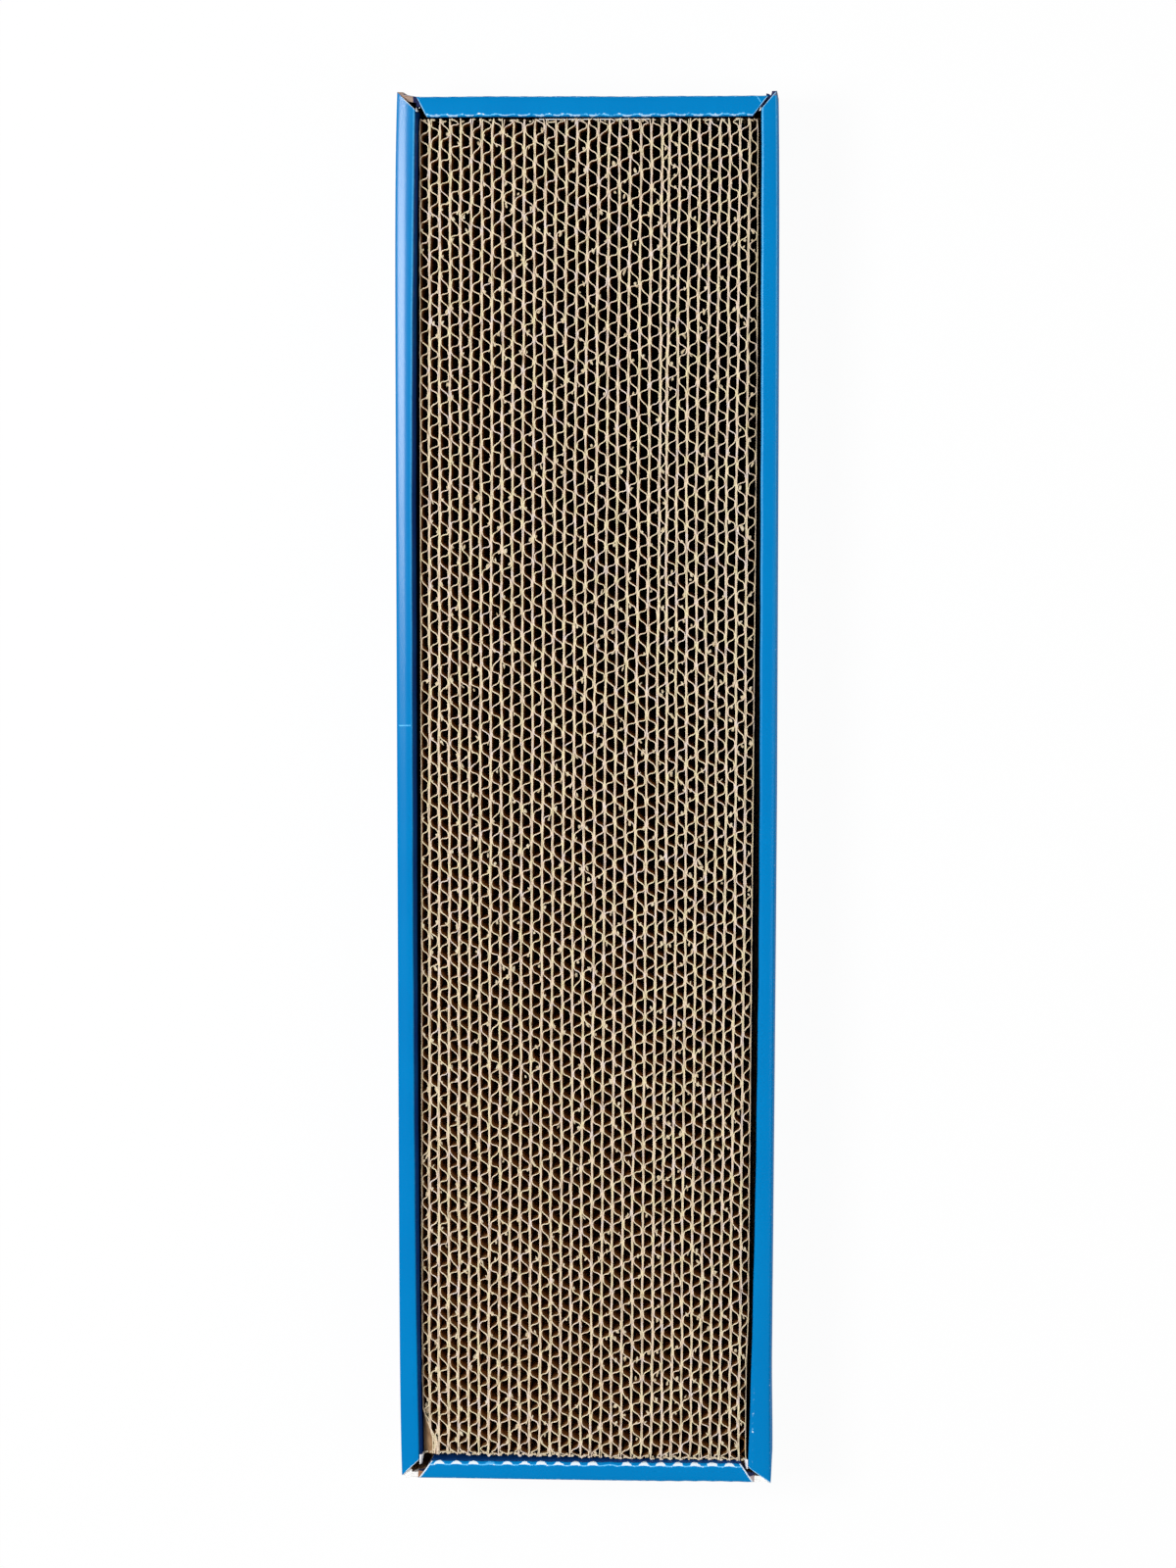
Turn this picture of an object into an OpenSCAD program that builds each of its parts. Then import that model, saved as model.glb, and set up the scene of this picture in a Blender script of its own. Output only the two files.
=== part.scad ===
// Cat scratcher: a pad of corrugated strips stood on edge in an open tray,
// folded and locked from one printed sheet of thinner corrugated board.
// Origin on the floor under the middle of the tray: X across, Y along, Z up.

/* [Pad] */
// Length of the pad and of each strip in it
pad_l = 465.2; // [300:0.1:640]
// Height of the pad, which is the width that the strips are cut to
pad_h = 43; // [20:0.5:80]
// Thickness of one strip of single-wall board
strip_t = 3.42; // [2.6:0.01:5]
// Film of glue between two strips
glue_t = 0.05; // [0.02:0.01:0.2]
// Thickness of a strip's flat liners
liner_t = 0.3; // [0.15:0.01:0.5]
// Thickness of the fluted medium between the liners
medium_t = 0.3; // [0.15:0.01:0.45]
// Distance from one flute to the next
flute_pitch = 7.5; // [6.5:0.1:10]
// Flat width of a flute's crest, where it is glued to a liner
crest_w = 1.8; // [1:0.05:2.2]

/* [Tray] */
// Thickness of the tray's folded board
board_t = 1.8; // [1.2:0.1:2.6]
// Depth of the pad's top below the rims
recess = 5.1; // [4.5:0.1:20]
// Play of the pad between the long walls
pad_play_x = 4.14; // [1:0.01:8]
// Play of the pad between the end walls
pad_play_y = 1.4; // [0.6:0.1:8]
// Place of the pad to the right of the middle, as a share of its play
pad_right_share = 0.1; // [-0.4:0.05:0.4]
// Place of the pad to the back of the middle, as a share of its play
pad_back_share = 0.4; // [-0.4:0.05:0.4]
// Distance that the cut ends of the long walls stand past the end walls
end_setback = 0.8; // [0.2:0.1:2]
// Outer radius of the creases along the rims
crease_r = 1.2; // [0.6:0.1:1.8]
// Inner radius of the folds at the floor and at the upright corners
fold_inner_r = 0.3; // [0.1:0.1:0.6]

/* [Corners] */
// Gap between the line of a long rim's inner crease and the tip of an end rim
mitre_gap = 1.2; // [0.2:0.1:3]
// Distance that an end rim narrows at each end over its width
mitre_run = 3.5; // [1:0.1:6]
// Depth of the end panels' raw top edge below the rims, beside the mitres
raw_edge_drop = 0.9; // [0.5:0.1:1.8]
// Distance that the long inner panels stop short of their rims
inner_short = 0.5; // [0.2:0.1:3]
// Length of the corner flaps that are tucked into the long walls
flap_l = 40; // [15:1:100]
// Clearance of a corner flap on every side in the hollow of its wall
flap_clear = 0.25; // [0.15:0.05:0.6]

/* [Locking tabs] */
// Width of each locking tab
tab_w = 38; // [15:1:60]
// Clearance round a tab in its slot
slot_clear = 0.3; // [0.2:0.1:1]
// Distance from a tab's lower edge up to the floor
tab_lift = 0.4; // [0.2:0.1:0.8]

/* [Hidden] */
STRIP_COUNT = 33;
LONG_TAB_COUNT = 3;
STRIP_NAMES = [for (i = [1 : STRIP_COUNT]) str("strip_", i < 10 ? "0" : "", i)];

$fn = 48;
print_blue = [0, 0.5, 0.78];
kraft = [0.78, 0.65, 0.48];

// Overrun of cuts, and of solids that are joined
over = 0.5;
// Gap under the pad, at rest on the tray's base
seat_gap = 0.1;
// Depth to which a crest is pressed into its liner
crest_bite = 0.04;
// Step of the flutes from one strip to the next, as a share of their pitch
strip_phase_share = 0.382;

// Pad
strip_pitch = strip_t + glue_t;
pad_w = STRIP_COUNT * strip_pitch - glue_t;
pad_z = board_t + seat_gap;

// Tray: 130.4 wide, 480 long and 50 high
fold_r = board_t + fold_inner_r;
flap_room = board_t + 2 * flap_clear;
hollow_middle = board_t + flap_room / 2;
rim_w = 2 * board_t + flap_room;
inner_w = pad_w + pad_play_x;
inner_l = pad_l + pad_play_y;
tray_w = inner_w + 2 * rim_w;
end_face = inner_l / 2 + rim_w;
tray_l = 2 * (end_face + end_setback);
tray_h = pad_z + pad_h + recess;

// Corners
flap_face = tray_w / 2 - board_t - flap_clear;
end_panel_w = 2 * (flap_face - fold_r);
rim_tip = inner_w / 2 - mitre_gap;
rim_foot = rim_tip - mitre_run;
flap_z = board_t + 2 * flap_clear;
flap_h = tray_h - board_t - flap_clear - flap_z;
long_inner_l = tray_l - 2 * (rim_w + inner_short);

// Locking tabs
long_tab_step = long_inner_l / LONG_TAB_COUNT;
long_tab_y = [for (i = [0 : LONG_TAB_COUNT - 1]) (i - (LONG_TAB_COUNT - 1) / 2) * long_tab_step];

// Centre line of the fluted medium
flute_rise = strip_t / 2 - liner_t + crest_bite - medium_t / 2;

// Corners of one flute, as [place along the strip, height off the middle]
flute = [
    [-crest_w / 2, flute_rise],
    [crest_w / 2, flute_rise],
    [flute_pitch / 2 - crest_w / 2, -flute_rise],
    [flute_pitch / 2 + crest_w / 2, -flute_rise]
];

function unit(v) = v / norm(v);
function turned(v) = [-v[1], v[0]];
function reversed(list) = [for (i = [len(list) - 1 : -1 : 0]) list[i]];

// Centre line of a strip's medium, from one end of the strip to the other
function medium_line(phase) =
    let (
        first = -ceil(pad_l / 2 / flute_pitch) - 1,
        line = [
            for (k = [first : -first])
                for (p = flute)
                    [p[0] + (k + phase) * flute_pitch, p[1]]
        ]
    )
    concat(
        [[-pad_l / 2, lookup(-pad_l / 2, line)]],
        [for (p = line) if (abs(p[0]) < pad_l / 2 - medium_t) p],
        [[pad_l / 2, lookup(pad_l / 2, line)]]
    );

// A line moved sideways by d, mitred at its corners and square at both ends
function beside(line, d) =
    let (
        n = len(line) - 1,
        side = [for (i = [0 : n - 1]) turned(unit(line[i + 1] - line[i]))]
    )
    [
        for (i = [0 : n])
            i == 0 ? line[0] + [0, d / side[0][1]]
            : i == n ? line[n] + [0, d / side[n - 1][1]]
            : let (m = unit(side[i - 1] + side[i])) line[i] + m * d / (m * side[i])
    ];

// Section of one strip seen from above: two liners and the fluted medium
module strip_section(phase) {
    line = medium_line(phase);
    for (x = [-strip_t / 2, strip_t / 2 - liner_t])
        translate([x, -pad_l / 2])
            square([liner_t, pad_l]);
    polygon([
        for (p = concat(beside(line, medium_t / 2), reversed(beside(line, -medium_t / 2))))
            [p[1], p[0]]
    ]);
}

// One strip of the pad, its flutes upright and open at the top
module strip(i) {
    phase = i * strip_phase_share % 1;
    x = pad_right_share * pad_play_x - pad_w / 2 + strip_t / 2 + i * strip_pitch;
    color(kraft)
        translate([x, pad_back_share * pad_play_y, pad_z])
            linear_extrude(pad_h)
                strip_section(phase);
}

// A quarter of a folded board's bend, its centre at the origin
module bend_section() {
    intersection() {
        difference() {
            circle(fold_r);
            circle(fold_inner_r);
        }
        translate([-fold_r, -fold_r])
            square(fold_r);
    }
}

// Section of a double wall: its outer face lies on the Y axis and it folds inwards
module wall_section() {
    translate([fold_r, fold_r])
        bend_section();
    difference() {
        union() {
            translate([0, fold_r])
                square([rim_w, tray_h - fold_r - crease_r]);
            translate([crease_r, fold_r])
                square([rim_w - 2 * crease_r, tray_h - fold_r]);
            for (x = [crease_r, rim_w - crease_r])
                translate([x, tray_h - crease_r])
                    circle(crease_r);
        }
        translate([board_t, -over])
            square([flap_room, tray_h - board_t + over]);
    }
    translate([rim_w - board_t, board_t])
        square([board_t, fold_r]);
}

// Locking tab under an inner panel, centred on the origin
module tab() {
    translate([-board_t / 2, -tab_w / 2, tab_lift])
        cube([board_t, tab_w, board_t - tab_lift + over]);
}

// Slot for a tab, through the base
module slot() {
    slot_t = board_t + 2 * slot_clear;
    slot_w = tab_w + 2 * slot_clear;
    translate([-slot_t / 2, -slot_w / 2, -over])
        cube([slot_t, slot_w, board_t + 2 * over]);
}

// Flat floor of the tray, with a slot for every locking tab
module base_panel() {
    color(kraft)
        difference() {
            translate([fold_r - tray_w / 2, fold_r - end_face, 0])
                cube([tray_w - 2 * fold_r, 2 * (end_face - fold_r), board_t]);
            for (side = [-1, 1]) {
                for (y = long_tab_y)
                    translate([side * (inner_w + board_t) / 2, y, 0])
                        slot();
                translate([0, side * (inner_l + board_t) / 2, 0])
                    rotate(90)
                        slot();
            }
        }
}

// Long wall on the left: its rim is mitred from the outer corners inwards
module long_wall() {
    translate([-tray_w / 2, 0, 0])
        difference() {
            rotate([90, 0, 0])
                linear_extrude(tray_l, center = true)
                    wall_section();
            for (side = [0, 1])
                mirror([0, side, 0])
                    translate([0, tray_l / 2, 0])
                        long_wall_end_cut();
        }
    for (y = long_tab_y)
        translate([-(inner_w + board_t) / 2, y, 0])
            tab();
}

// What is cut from one end of a long wall, measured from its outer corner
module long_wall_end_cut() {
    rim_cut = rim_w + over;
    translate([0, 0, tray_h - board_t])
        linear_extrude(board_t + over)
            polygon([[-over, over], [rim_cut, -rim_cut], [rim_cut, over]]);
    translate([hollow_middle, -rim_w - inner_short, 0])
        cube([rim_w, rim_w + inner_short + over, tray_h - board_t]);
}

module long_wall_left() {
    color(print_blue)
        long_wall();
}

module long_wall_right() {
    color(print_blue)
        mirror([1, 0, 0])
            long_wall();
}

// End wall at the front: its rim and inner panel are narrower than its outer panel
module end_wall() {
    translate([0, -end_face, 0])
        difference() {
            rotate([90, 0, 90])
                linear_extrude(end_panel_w, center = true)
                    wall_section();
            for (side = [0, 1])
                mirror([side, 0, 0])
                    end_wall_end_cut();
        }
    translate([0, -(inner_l + board_t) / 2, 0])
        rotate(90)
            tab();
}

// Outline of what lies beyond an end rim's mitre, from a depth inwards
module beyond_mitre(depth) {
    narrowing_share = mitre_run / rim_w;
    beyond = end_panel_w / 2 + over;
    inner = rim_w + over;
    polygon([
        [rim_tip - depth * narrowing_share, depth],
        [beyond, depth],
        [beyond, inner],
        [rim_tip - inner * narrowing_share, inner]
    ]);
}

// What is cut from one end of an end wall, measured from its outer face
module end_wall_end_cut() {
    translate([0, 0, tray_h - raw_edge_drop])
        linear_extrude(raw_edge_drop + over)
            beyond_mitre(-over);
    translate([0, 0, tray_h - board_t])
        linear_extrude(board_t + over)
            beyond_mitre(board_t);
    translate([rim_foot, hollow_middle, 0])
        cube([end_panel_w / 2 - rim_foot + over, rim_w, tray_h - board_t]);
}

module end_wall_front() {
    color(print_blue)
        end_wall();
}

module end_wall_back() {
    color(print_blue)
        mirror([0, 1, 0])
            end_wall();
}

// Corner flap at the front left, with the upright bend that carries it
module corner_flap() {
    translate([-flap_face, -end_face, flap_z])
        linear_extrude(flap_h) {
            translate([fold_r, fold_r])
                bend_section();
            translate([0, fold_r])
                square([board_t, flap_l]);
        }
}

module corner_flap_at(right, back) {
    color(print_blue)
        mirror([right, 0, 0])
            mirror([0, back, 0])
                corner_flap();
}

base_panel();
long_wall_left();
long_wall_right();
end_wall_front();
end_wall_back();
corner_flap_at(0, 0);  // corner_flap_front_left
corner_flap_at(1, 0);  // corner_flap_front_right
corner_flap_at(0, 1);  // corner_flap_back_left
corner_flap_at(1, 1);  // corner_flap_back_right
for (i = [0 : STRIP_COUNT - 1])
    strip(i);
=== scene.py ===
"""Looks of a cat scratcher: a pad of corrugated strips in a tray folded from printed board.

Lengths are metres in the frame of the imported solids: X across, Y along, Z up from the floor.
"""

import logging
import math
from collections.abc import Callable, Iterator, Sequence
from contextlib import contextmanager
from dataclasses import dataclass, field, replace
from enum import Enum, IntEnum

import bmesh
import bpy
import numpy as np
from mathutils import Euler, Matrix, Vector


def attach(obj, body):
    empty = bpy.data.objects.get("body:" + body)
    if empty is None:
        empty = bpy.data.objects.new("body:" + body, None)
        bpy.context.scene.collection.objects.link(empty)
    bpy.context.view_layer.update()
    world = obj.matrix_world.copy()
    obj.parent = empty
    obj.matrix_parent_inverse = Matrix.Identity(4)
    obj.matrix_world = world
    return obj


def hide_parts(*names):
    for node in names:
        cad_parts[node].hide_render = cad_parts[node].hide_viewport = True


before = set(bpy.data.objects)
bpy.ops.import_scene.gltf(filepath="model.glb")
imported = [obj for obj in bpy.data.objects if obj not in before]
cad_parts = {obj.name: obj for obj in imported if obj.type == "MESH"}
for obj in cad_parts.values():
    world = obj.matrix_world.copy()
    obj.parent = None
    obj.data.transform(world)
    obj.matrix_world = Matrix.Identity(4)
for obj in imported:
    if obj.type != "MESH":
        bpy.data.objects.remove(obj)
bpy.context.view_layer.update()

LOG = logging.getLogger("scratcher")
MM = 0.001
FIBRE_SIZE = 0.7 * MM
FIBRE_STRETCH = (1.0, 0.25, 0.6)
Pair = tuple[float, float]
Triple = tuple[float, float, float]
Colour = tuple[float, float, float, float]
Sockets = dict[str | int, object]


def tint(red: float, green: float, blue: float) -> Colour:
    """Turn a colour of the screen into the linear one that shaders use.

    Args:
        red: Red, from 0 to 255.
        green: Green, from 0 to 255.
        blue: Blue, from 0 to 255.

    Returns:
        The linear colour with a full alpha.
    """
    linear = [
        c / 12.92 if c <= 0.04045 else ((c + 0.055) / 1.055) ** 2.4
        for c in (red / 255, green / 255, blue / 255)
    ]
    return linear[0], linear[1], linear[2], 1.0


def eased(share: np.ndarray) -> np.ndarray:
    """Ease a share between 0 and 1, and hold it there outside.

    Args:
        share: Plain shares.

    Returns:
        The eased shares.
    """
    held = np.clip(share, 0.0, 1.0)
    return held * held * (3.0 - 2.0 * held)


def rise(value: np.ndarray, reach: Pair) -> np.ndarray:
    """Rise from 0 at the start of a reach to 1 at its end, and ease the way.

    Args:
        value: Places, heights or shares.
        reach: The start and the end.

    Returns:
        The eased shares.
    """
    start, end = reach
    return eased((value - start) / (end - start))


class Shade:
    """A number or vector in a shader tree that can be reckoned with."""

    def __init__(self, graph: "Graph", socket: bpy.types.NodeSocket) -> None:
        """Wrap a socket of a graph."""
        self.graph = graph
        self.socket = socket

    def __add__(self, other: "Shade | float") -> "Shade":
        """Add."""
        return self.graph.maths("ADD", self, other)

    def __sub__(self, other: "Shade | float") -> "Shade":
        """Take away."""
        return self.graph.maths("SUBTRACT", self, other)

    def __rsub__(self, other: float) -> "Shade":
        """Take away from a number."""
        return self.graph.maths("SUBTRACT", other, self)

    def __mul__(self, other: "Shade | float") -> "Shade":
        """Multiply."""
        return self.graph.maths("MULTIPLY", self, other)

    def __truediv__(self, other: "Shade | float") -> "Shade":
        """Divide."""
        return self.graph.maths("DIVIDE", self, other)

    def __abs__(self) -> "Shade":
        """Drop the sign."""
        return self.graph.maths("ABSOLUTE", self)

    def least(self, other: "Shade | float") -> "Shade":
        """Take the smaller of two."""
        return self.graph.maths("MINIMUM", self, other)

    def most(self, other: "Shade | float") -> "Shade":
        """Take the larger of two."""
        return self.graph.maths("MAXIMUM", self, other)

    def wave(self) -> "Shade":
        """Take the sine."""
        return self.graph.maths("SINE", self)

    def root(self) -> "Shade":
        """Take the square root."""
        return self.graph.maths("SQRT", self)

    def whole(self) -> "Shade":
        """Round to the nearest whole number."""
        return self.graph.maths("ROUND", self)

    def span(self, low: float, high: float, smooth: bool = True) -> "Shade":
        """Map a range of values to the range from 0 to 1.

        Args:
            low: Value that becomes 0.
            high: Value that becomes 1.
            smooth: Whether the way between them is eased.

        Returns:
            The mapped value, held between 0 and 1.
        """
        kind = {"interpolation_type": "SMOOTHSTEP" if smooth else "LINEAR"}
        ends = {1: low, 2: high, 3: 0.0, 4: 1.0} if low <= high else {1: high, 2: low, 3: 1.0, 4: 0.0}
        made = self.graph.node("ShaderNodeMapRange", kind, {0: self, **ends})
        return Shade(self.graph, made.outputs[0])


class Graph:
    """The shader tree of a material or of the world, built node by node."""

    def __init__(self, owner: bpy.types.Material | bpy.types.World) -> None:
        """Start with an empty tree."""
        owner.use_nodes = True
        self.owner = owner
        self.tree = owner.node_tree
        self.tree.nodes.clear()

    def node(
        self,
        kind: str,
        settings: dict[str, object] | None = None,
        sockets: Sockets | None = None,
    ) -> bpy.types.Node:
        """Add a node.

        Args:
            kind: Type of the node.
            settings: Its properties, which are set first.
            sockets: Its inputs, by name or number, as plain values or shades.

        Returns:
            The new node.
        """
        made = self.tree.nodes.new(kind)
        for name, value in (settings or {}).items():
            setattr(made, name, value)
        for name, value in (sockets or {}).items():
            if isinstance(value, Shade):
                self.tree.links.new(value.socket, made.inputs[name])
            else:
                made.inputs[name].default_value = value
        return made

    def maths(self, operation: str, *terms: "Shade | float") -> Shade:
        """Reckon with numbers.

        Args:
            operation: Name of the operation.
            terms: What it works on.

        Returns:
            The result.
        """
        made = self.node("ShaderNodeMath", {"operation": operation}, dict(enumerate(terms)))
        return Shade(self, made.outputs[0])

    def place(self) -> Shade:
        """Place on the object, in metres."""
        return Shade(self, self.node("ShaderNodeTexCoord").outputs["Object"])

    def sheet_place(self) -> Shade:
        """Place on the flat blank that a folded piece is made from, in metres."""
        return Shade(self, self.node("ShaderNodeUVMap", {"uv_map": "Blank"}).outputs[0])

    def part(self, vector: Shade, axis: int) -> Shade:
        """Take one number out of a vector.

        Args:
            vector: The vector.
            axis: 0, 1 or 2.

        Returns:
            That number.
        """
        made = self.node("ShaderNodeSeparateXYZ", None, {0: vector})
        return Shade(self, made.outputs[axis])

    def side(self, vector: Shade, axis: int) -> Shade:
        """1 where a number of a vector is above 0, and 0 where it is below."""
        return self.part(vector, axis).span(-1 * MM, 1 * MM)

    def stretched(self, vector: Shade, by: Triple) -> Shade:
        """Scale a vector along each axis.

        Args:
            vector: The vector.
            by: Factor for each axis.

        Returns:
            The scaled vector.
        """
        made = self.node("ShaderNodeVectorMath", {"operation": "MULTIPLY"}, {0: vector, 1: by})
        return Shade(self, made.outputs[0])

    def grain(self, vector: Shade, size: float, detail: float = 2.0) -> Shade:
        """Soft noise around 0.5.

        Args:
            vector: Place that it follows.
            size: Size of its lumps, in metres.
            detail: Octaves of finer noise on them.

        Returns:
            The noise.
        """
        made = self.node(
            "ShaderNodeTexNoise",
            {"noise_dimensions": "3D"},
            {"Vector": vector, "Scale": 1.0 / size, "Detail": detail, "Roughness": 0.55},
        )
        return Shade(self, made.outputs[0])

    def fibres(self, vector: Shade) -> Shade:
        """Noise of the long fibres in the paper of the tray's board."""
        return self.grain(self.stretched(vector, FIBRE_STRETCH), FIBRE_SIZE, 4.0)

    def chance(self, number: Shade) -> Shade:
        """A random number from 0 to 1 that belongs to a whole number."""
        made = self.node("ShaderNodeTexWhiteNoise", {"noise_dimensions": "1D"}, {"W": number})
        return Shade(self, made.outputs[0])

    def blended(self, share: "Shade | float", first: object, second: object) -> Shade:
        """Mix two colours.

        Args:
            share: Share of the second colour.
            first: First colour.
            second: Second colour.

        Returns:
            The mixed colour.
        """
        made = self.node("ShaderNodeMix", {"data_type": "RGBA"}, {0: share, 6: first, 7: second})
        return Shade(self, made.outputs[2])

    def ramp(self, value: Shade, stops: Sequence[tuple[float, Colour]]) -> Shade:
        """Turn a number from 0 to 1 into a colour.

        Args:
            value: The number.
            stops: Places and their colours, in order.

        Returns:
            The colour.
        """
        made = self.node("ShaderNodeValToRGB", None, {0: value})
        marks = made.color_ramp.elements
        while len(marks) < len(stops):
            marks.new(1.0)
        for mark, (where, colour) in zip(marks, stops):
            mark.position = where
            mark.color = colour
        return Shade(self, made.outputs[0])

    def relief(self, height: Shade, depth: float) -> Shade:
        """Turn a height into a bumped normal.

        Args:
            height: Height from 0 to 1.
            depth: What a height of 1 stands for, in metres.

        Returns:
            The normal.
        """
        made = self.node("ShaderNodeBump", None, {"Distance": depth, "Height": height})
        return Shade(self, made.outputs[0])

    def shader(self, kind: str, sockets: Sockets) -> Shade:
        """Add a shader.

        Args:
            kind: Type of its node.
            sockets: Its inputs.

        Returns:
            The shader.
        """
        return Shade(self, self.node(kind, None, sockets).outputs[0])

    def seen(self) -> Shade:
        """1 where the camera, a mirror or a glass looks, and 0 for light that falls."""
        ray = self.node("ShaderNodeLightPath")
        looked = Shade(self, ray.outputs["Is Camera Ray"])
        for other in ("Is Glossy Ray", "Is Transmission Ray"):
            looked = looked.most(Shade(self, ray.outputs[other]))
        return looked

    def finish(self, sockets: Sockets) -> bpy.types.Material:
        """Close the tree with a surface.

        Args:
            sockets: Inputs of the surface shader.

        Returns:
            The material.
        """
        surface = self.shader("ShaderNodeBsdfPrincipled", sockets)
        self.node("ShaderNodeOutputMaterial", None, {"Surface": surface})
        return self.owner


@dataclass(frozen=True)
class Finish:
    """A finish, which is made as one material."""

    name: str

    def surface(self, g: Graph) -> Sockets:
        """Work out the inputs of the surface shader.

        Args:
            g: The finish's tree.

        Returns:
            The inputs, by name.
        """
        raise NotImplementedError

    def material(self) -> bpy.types.Material:
        """Make the finish.

        Returns:
            Its material.
        """
        g = Graph(bpy.data.materials.new(self.name))
        return g.finish(self.surface(g))


@dataclass(frozen=True)
class PrintedBoard(Finish):
    """Blue satin print on the outside of the tray's board, worn along its creases.

    The white cracks follow the board's flutes, where they cross a crease. The rubs are paler blue
    lines along the creases: partly print stretched thin over them at the back of the tray, partly
    painted highlight, which grows towards the back. The hair is a broken line of that paler blue, and
    it starts between the two places of its reach. Past the inner crease the ink turns navy, which is
    painted shade on the inner panel. A pair of widths says how far from its middle a line is gone,
    and how far it is whole.
    """

    inner_crease: float
    outer_crease: float
    flutes_cross: bool
    flute: float = 6.1 * MM
    base: float = 0.8 * MM
    ink: Colour = tint(0, 126, 194)
    patch_ink: Colour = tint(0, 150, 214)
    # painted shade: the navy that the ink turns to past the inner crease, down the inner panel
    painted_shade_ink: Colour = tint(20, 66, 142)
    # pale blue of the cracks, the hair, the scratch and the tear, and of the rubs, where it is partly
    # painted highlight
    pale_ink_and_highlight: Colour = tint(96, 196, 252)
    paper: Colour = tint(246, 250, 252)
    raw: Colour = tint(186, 188, 200)
    patch_size: float = 30 * MM
    painted_shade_start: float = 0.1 * MM
    painted_shade_reach: float = 1.2 * MM
    crack_height: float = 0.0
    crack_white: float = 1.0
    crack_noise: float = 0.9
    crack_fold: float = 0.6 * MM
    crack_start: Pair = (-0.2 * MM, 0.1 * MM)
    moon_half_share: float = 0.34
    moon_start: float = 0.0
    seen_share: float = 0.26
    hair_share: float = 0.0
    outer_hair: float = 0.0
    hair_reach: Pair = (240 * MM, 241 * MM)
    hair_widths: Pair = (0.3 * MM, 0.1 * MM)
    hair_sway: float = 0.12 * MM
    hair_noise: float = 0.45 * MM
    # rubs: paler lines along the creases, partly print stretched thin and partly painted highlight,
    # growing towards the back
    rub_and_highlight: float = 0.0
    rub_and_highlight_middle: float = -0.2 * MM
    outer_rub_and_highlight: float = 0.0
    outer_rub_and_highlight_middle: float = 0.1 * MM
    rub_and_highlight_reach: Pair = (-20 * MM, 170 * MM)
    rub_and_highlight_widths: Pair = (0.42 * MM, 0.16 * MM)
    scratch_at: float | None = None
    scratch_noise: float = 0.5 * MM
    scratch_start: Pair = (0.5 * MM, 0.9 * MM)
    scratch_end: Pair = (-0.2 * MM, -0.6 * MM)
    bare_tip: float | None = None
    bare_noise: float = 1.5 * MM
    bare_rise: float = 0.3 * MM
    tear_at: float | None = None
    tear_lean: float = 0.74
    tear_widths: Pair = (0.24 * MM, 0.08 * MM)
    tear_start: Pair = (-0.4 * MM, -0.1 * MM)
    tear_end: Pair = (2.0 * MM, 1.6 * MM)
    gloss: float = 0.1
    least_gloss: float = 0.1
    gloss_reach: Pair = (-40 * MM, 180 * MM)
    grain_size: float = 0.9 * MM
    mottle_size: float = 1.1 * MM
    rib_depth: float = 0.03 * MM

    def cracks(self, g: Graph, along: Shade, past: Shade, mottle: Shade) -> Shade:
        """White half moons of torn paper on the inner crease.

        Args:
            g: The finish's tree.
            along: Place along the crease.
            past: Place past the middle of the crease.
            mottle: Noise that roughens them.

        Returns:
            1 on the cracks and 0 elsewhere.
        """
        flutes = along / self.flute - self.moon_start
        number = flutes.whole()
        offset = flutes - number
        luck = g.chance(number + 3.0)
        moon = 1.0 - offset * offset * (1.0 / self.moon_half_share**2)
        top = (past + self.base).least(self.base + self.crack_fold)
        turned = (past - self.crack_fold).most(0.0)
        lift = (top + turned * self.seen_share) / ((luck * 0.45 + 0.55) * self.crack_height)
        crack = (moon - lift + (mottle - 0.5) * self.crack_noise).span(0.0, 0.25)
        return crack * (past + self.base).span(*self.crack_start) * luck.span(0.0, 0.08)

    def hair(self, along: Shade, past: Shade, mottle: Shade, share: float) -> Shade:
        """Thin broken line along a crease.

        Args:
            along: Place along the crease.
            past: Place past the line.
            mottle: Noise that breaks it.
            share: How much of it is unbroken.

        Returns:
            1 on the line and 0 elsewhere.
        """
        flutes = along / self.flute - (self.moon_start - 0.25)
        sway = (flutes * (2 * math.pi)).wave() * (self.hair_sway if self.flutes_cross else 0.0)
        rough = (mottle - 0.5) * (self.hair_noise * self.crack_noise)
        line = abs(past - sway + rough).span(*self.hair_widths)
        bar = 0.5 + (0.5 - share) * 0.4
        return line * mottle.span(bar - 0.04, bar + 0.08)

    def rub_and_highlight_line(self, along: Shade, past: Shade, share: float) -> Shade:
        """Paler line along a crease: print stretched thin, and painted highlight towards the back.

        Args:
            along: Place along the crease.
            past: Place past the line.
            share: How far the ink is gone at the back, with the painted highlight there.

        Returns:
            Share of the paler ink, for the thin print and the painted highlight.
        """
        # The line grows towards the back of the tray, where it is partly painted highlight.
        low, high = self.rub_and_highlight_reach
        return abs(past).span(*self.rub_and_highlight_widths) * along.span(low, high, smooth=False) * share

    def handled(self, g: Graph, ink: Shade, along: Shade, across: Shade, mottle: Shade) -> Shade:
        """Lay the rubs with their painted highlight, the scratch, the bare tip and the tear over the
        ink.

        Args:
            g: The finish's tree.
            ink: The ink without them.
            along: Place along the wall.
            across: Place across the blank.
            mottle: Noise that roughens them.

        Returns:
            The ink with those that the wall has.
        """
        past, edge = across - self.inner_crease, across - self.outer_crease
        uneven = mottle.span(0.2, 0.6) * 0.5 + 0.5
        noise = mottle - 0.5
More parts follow.
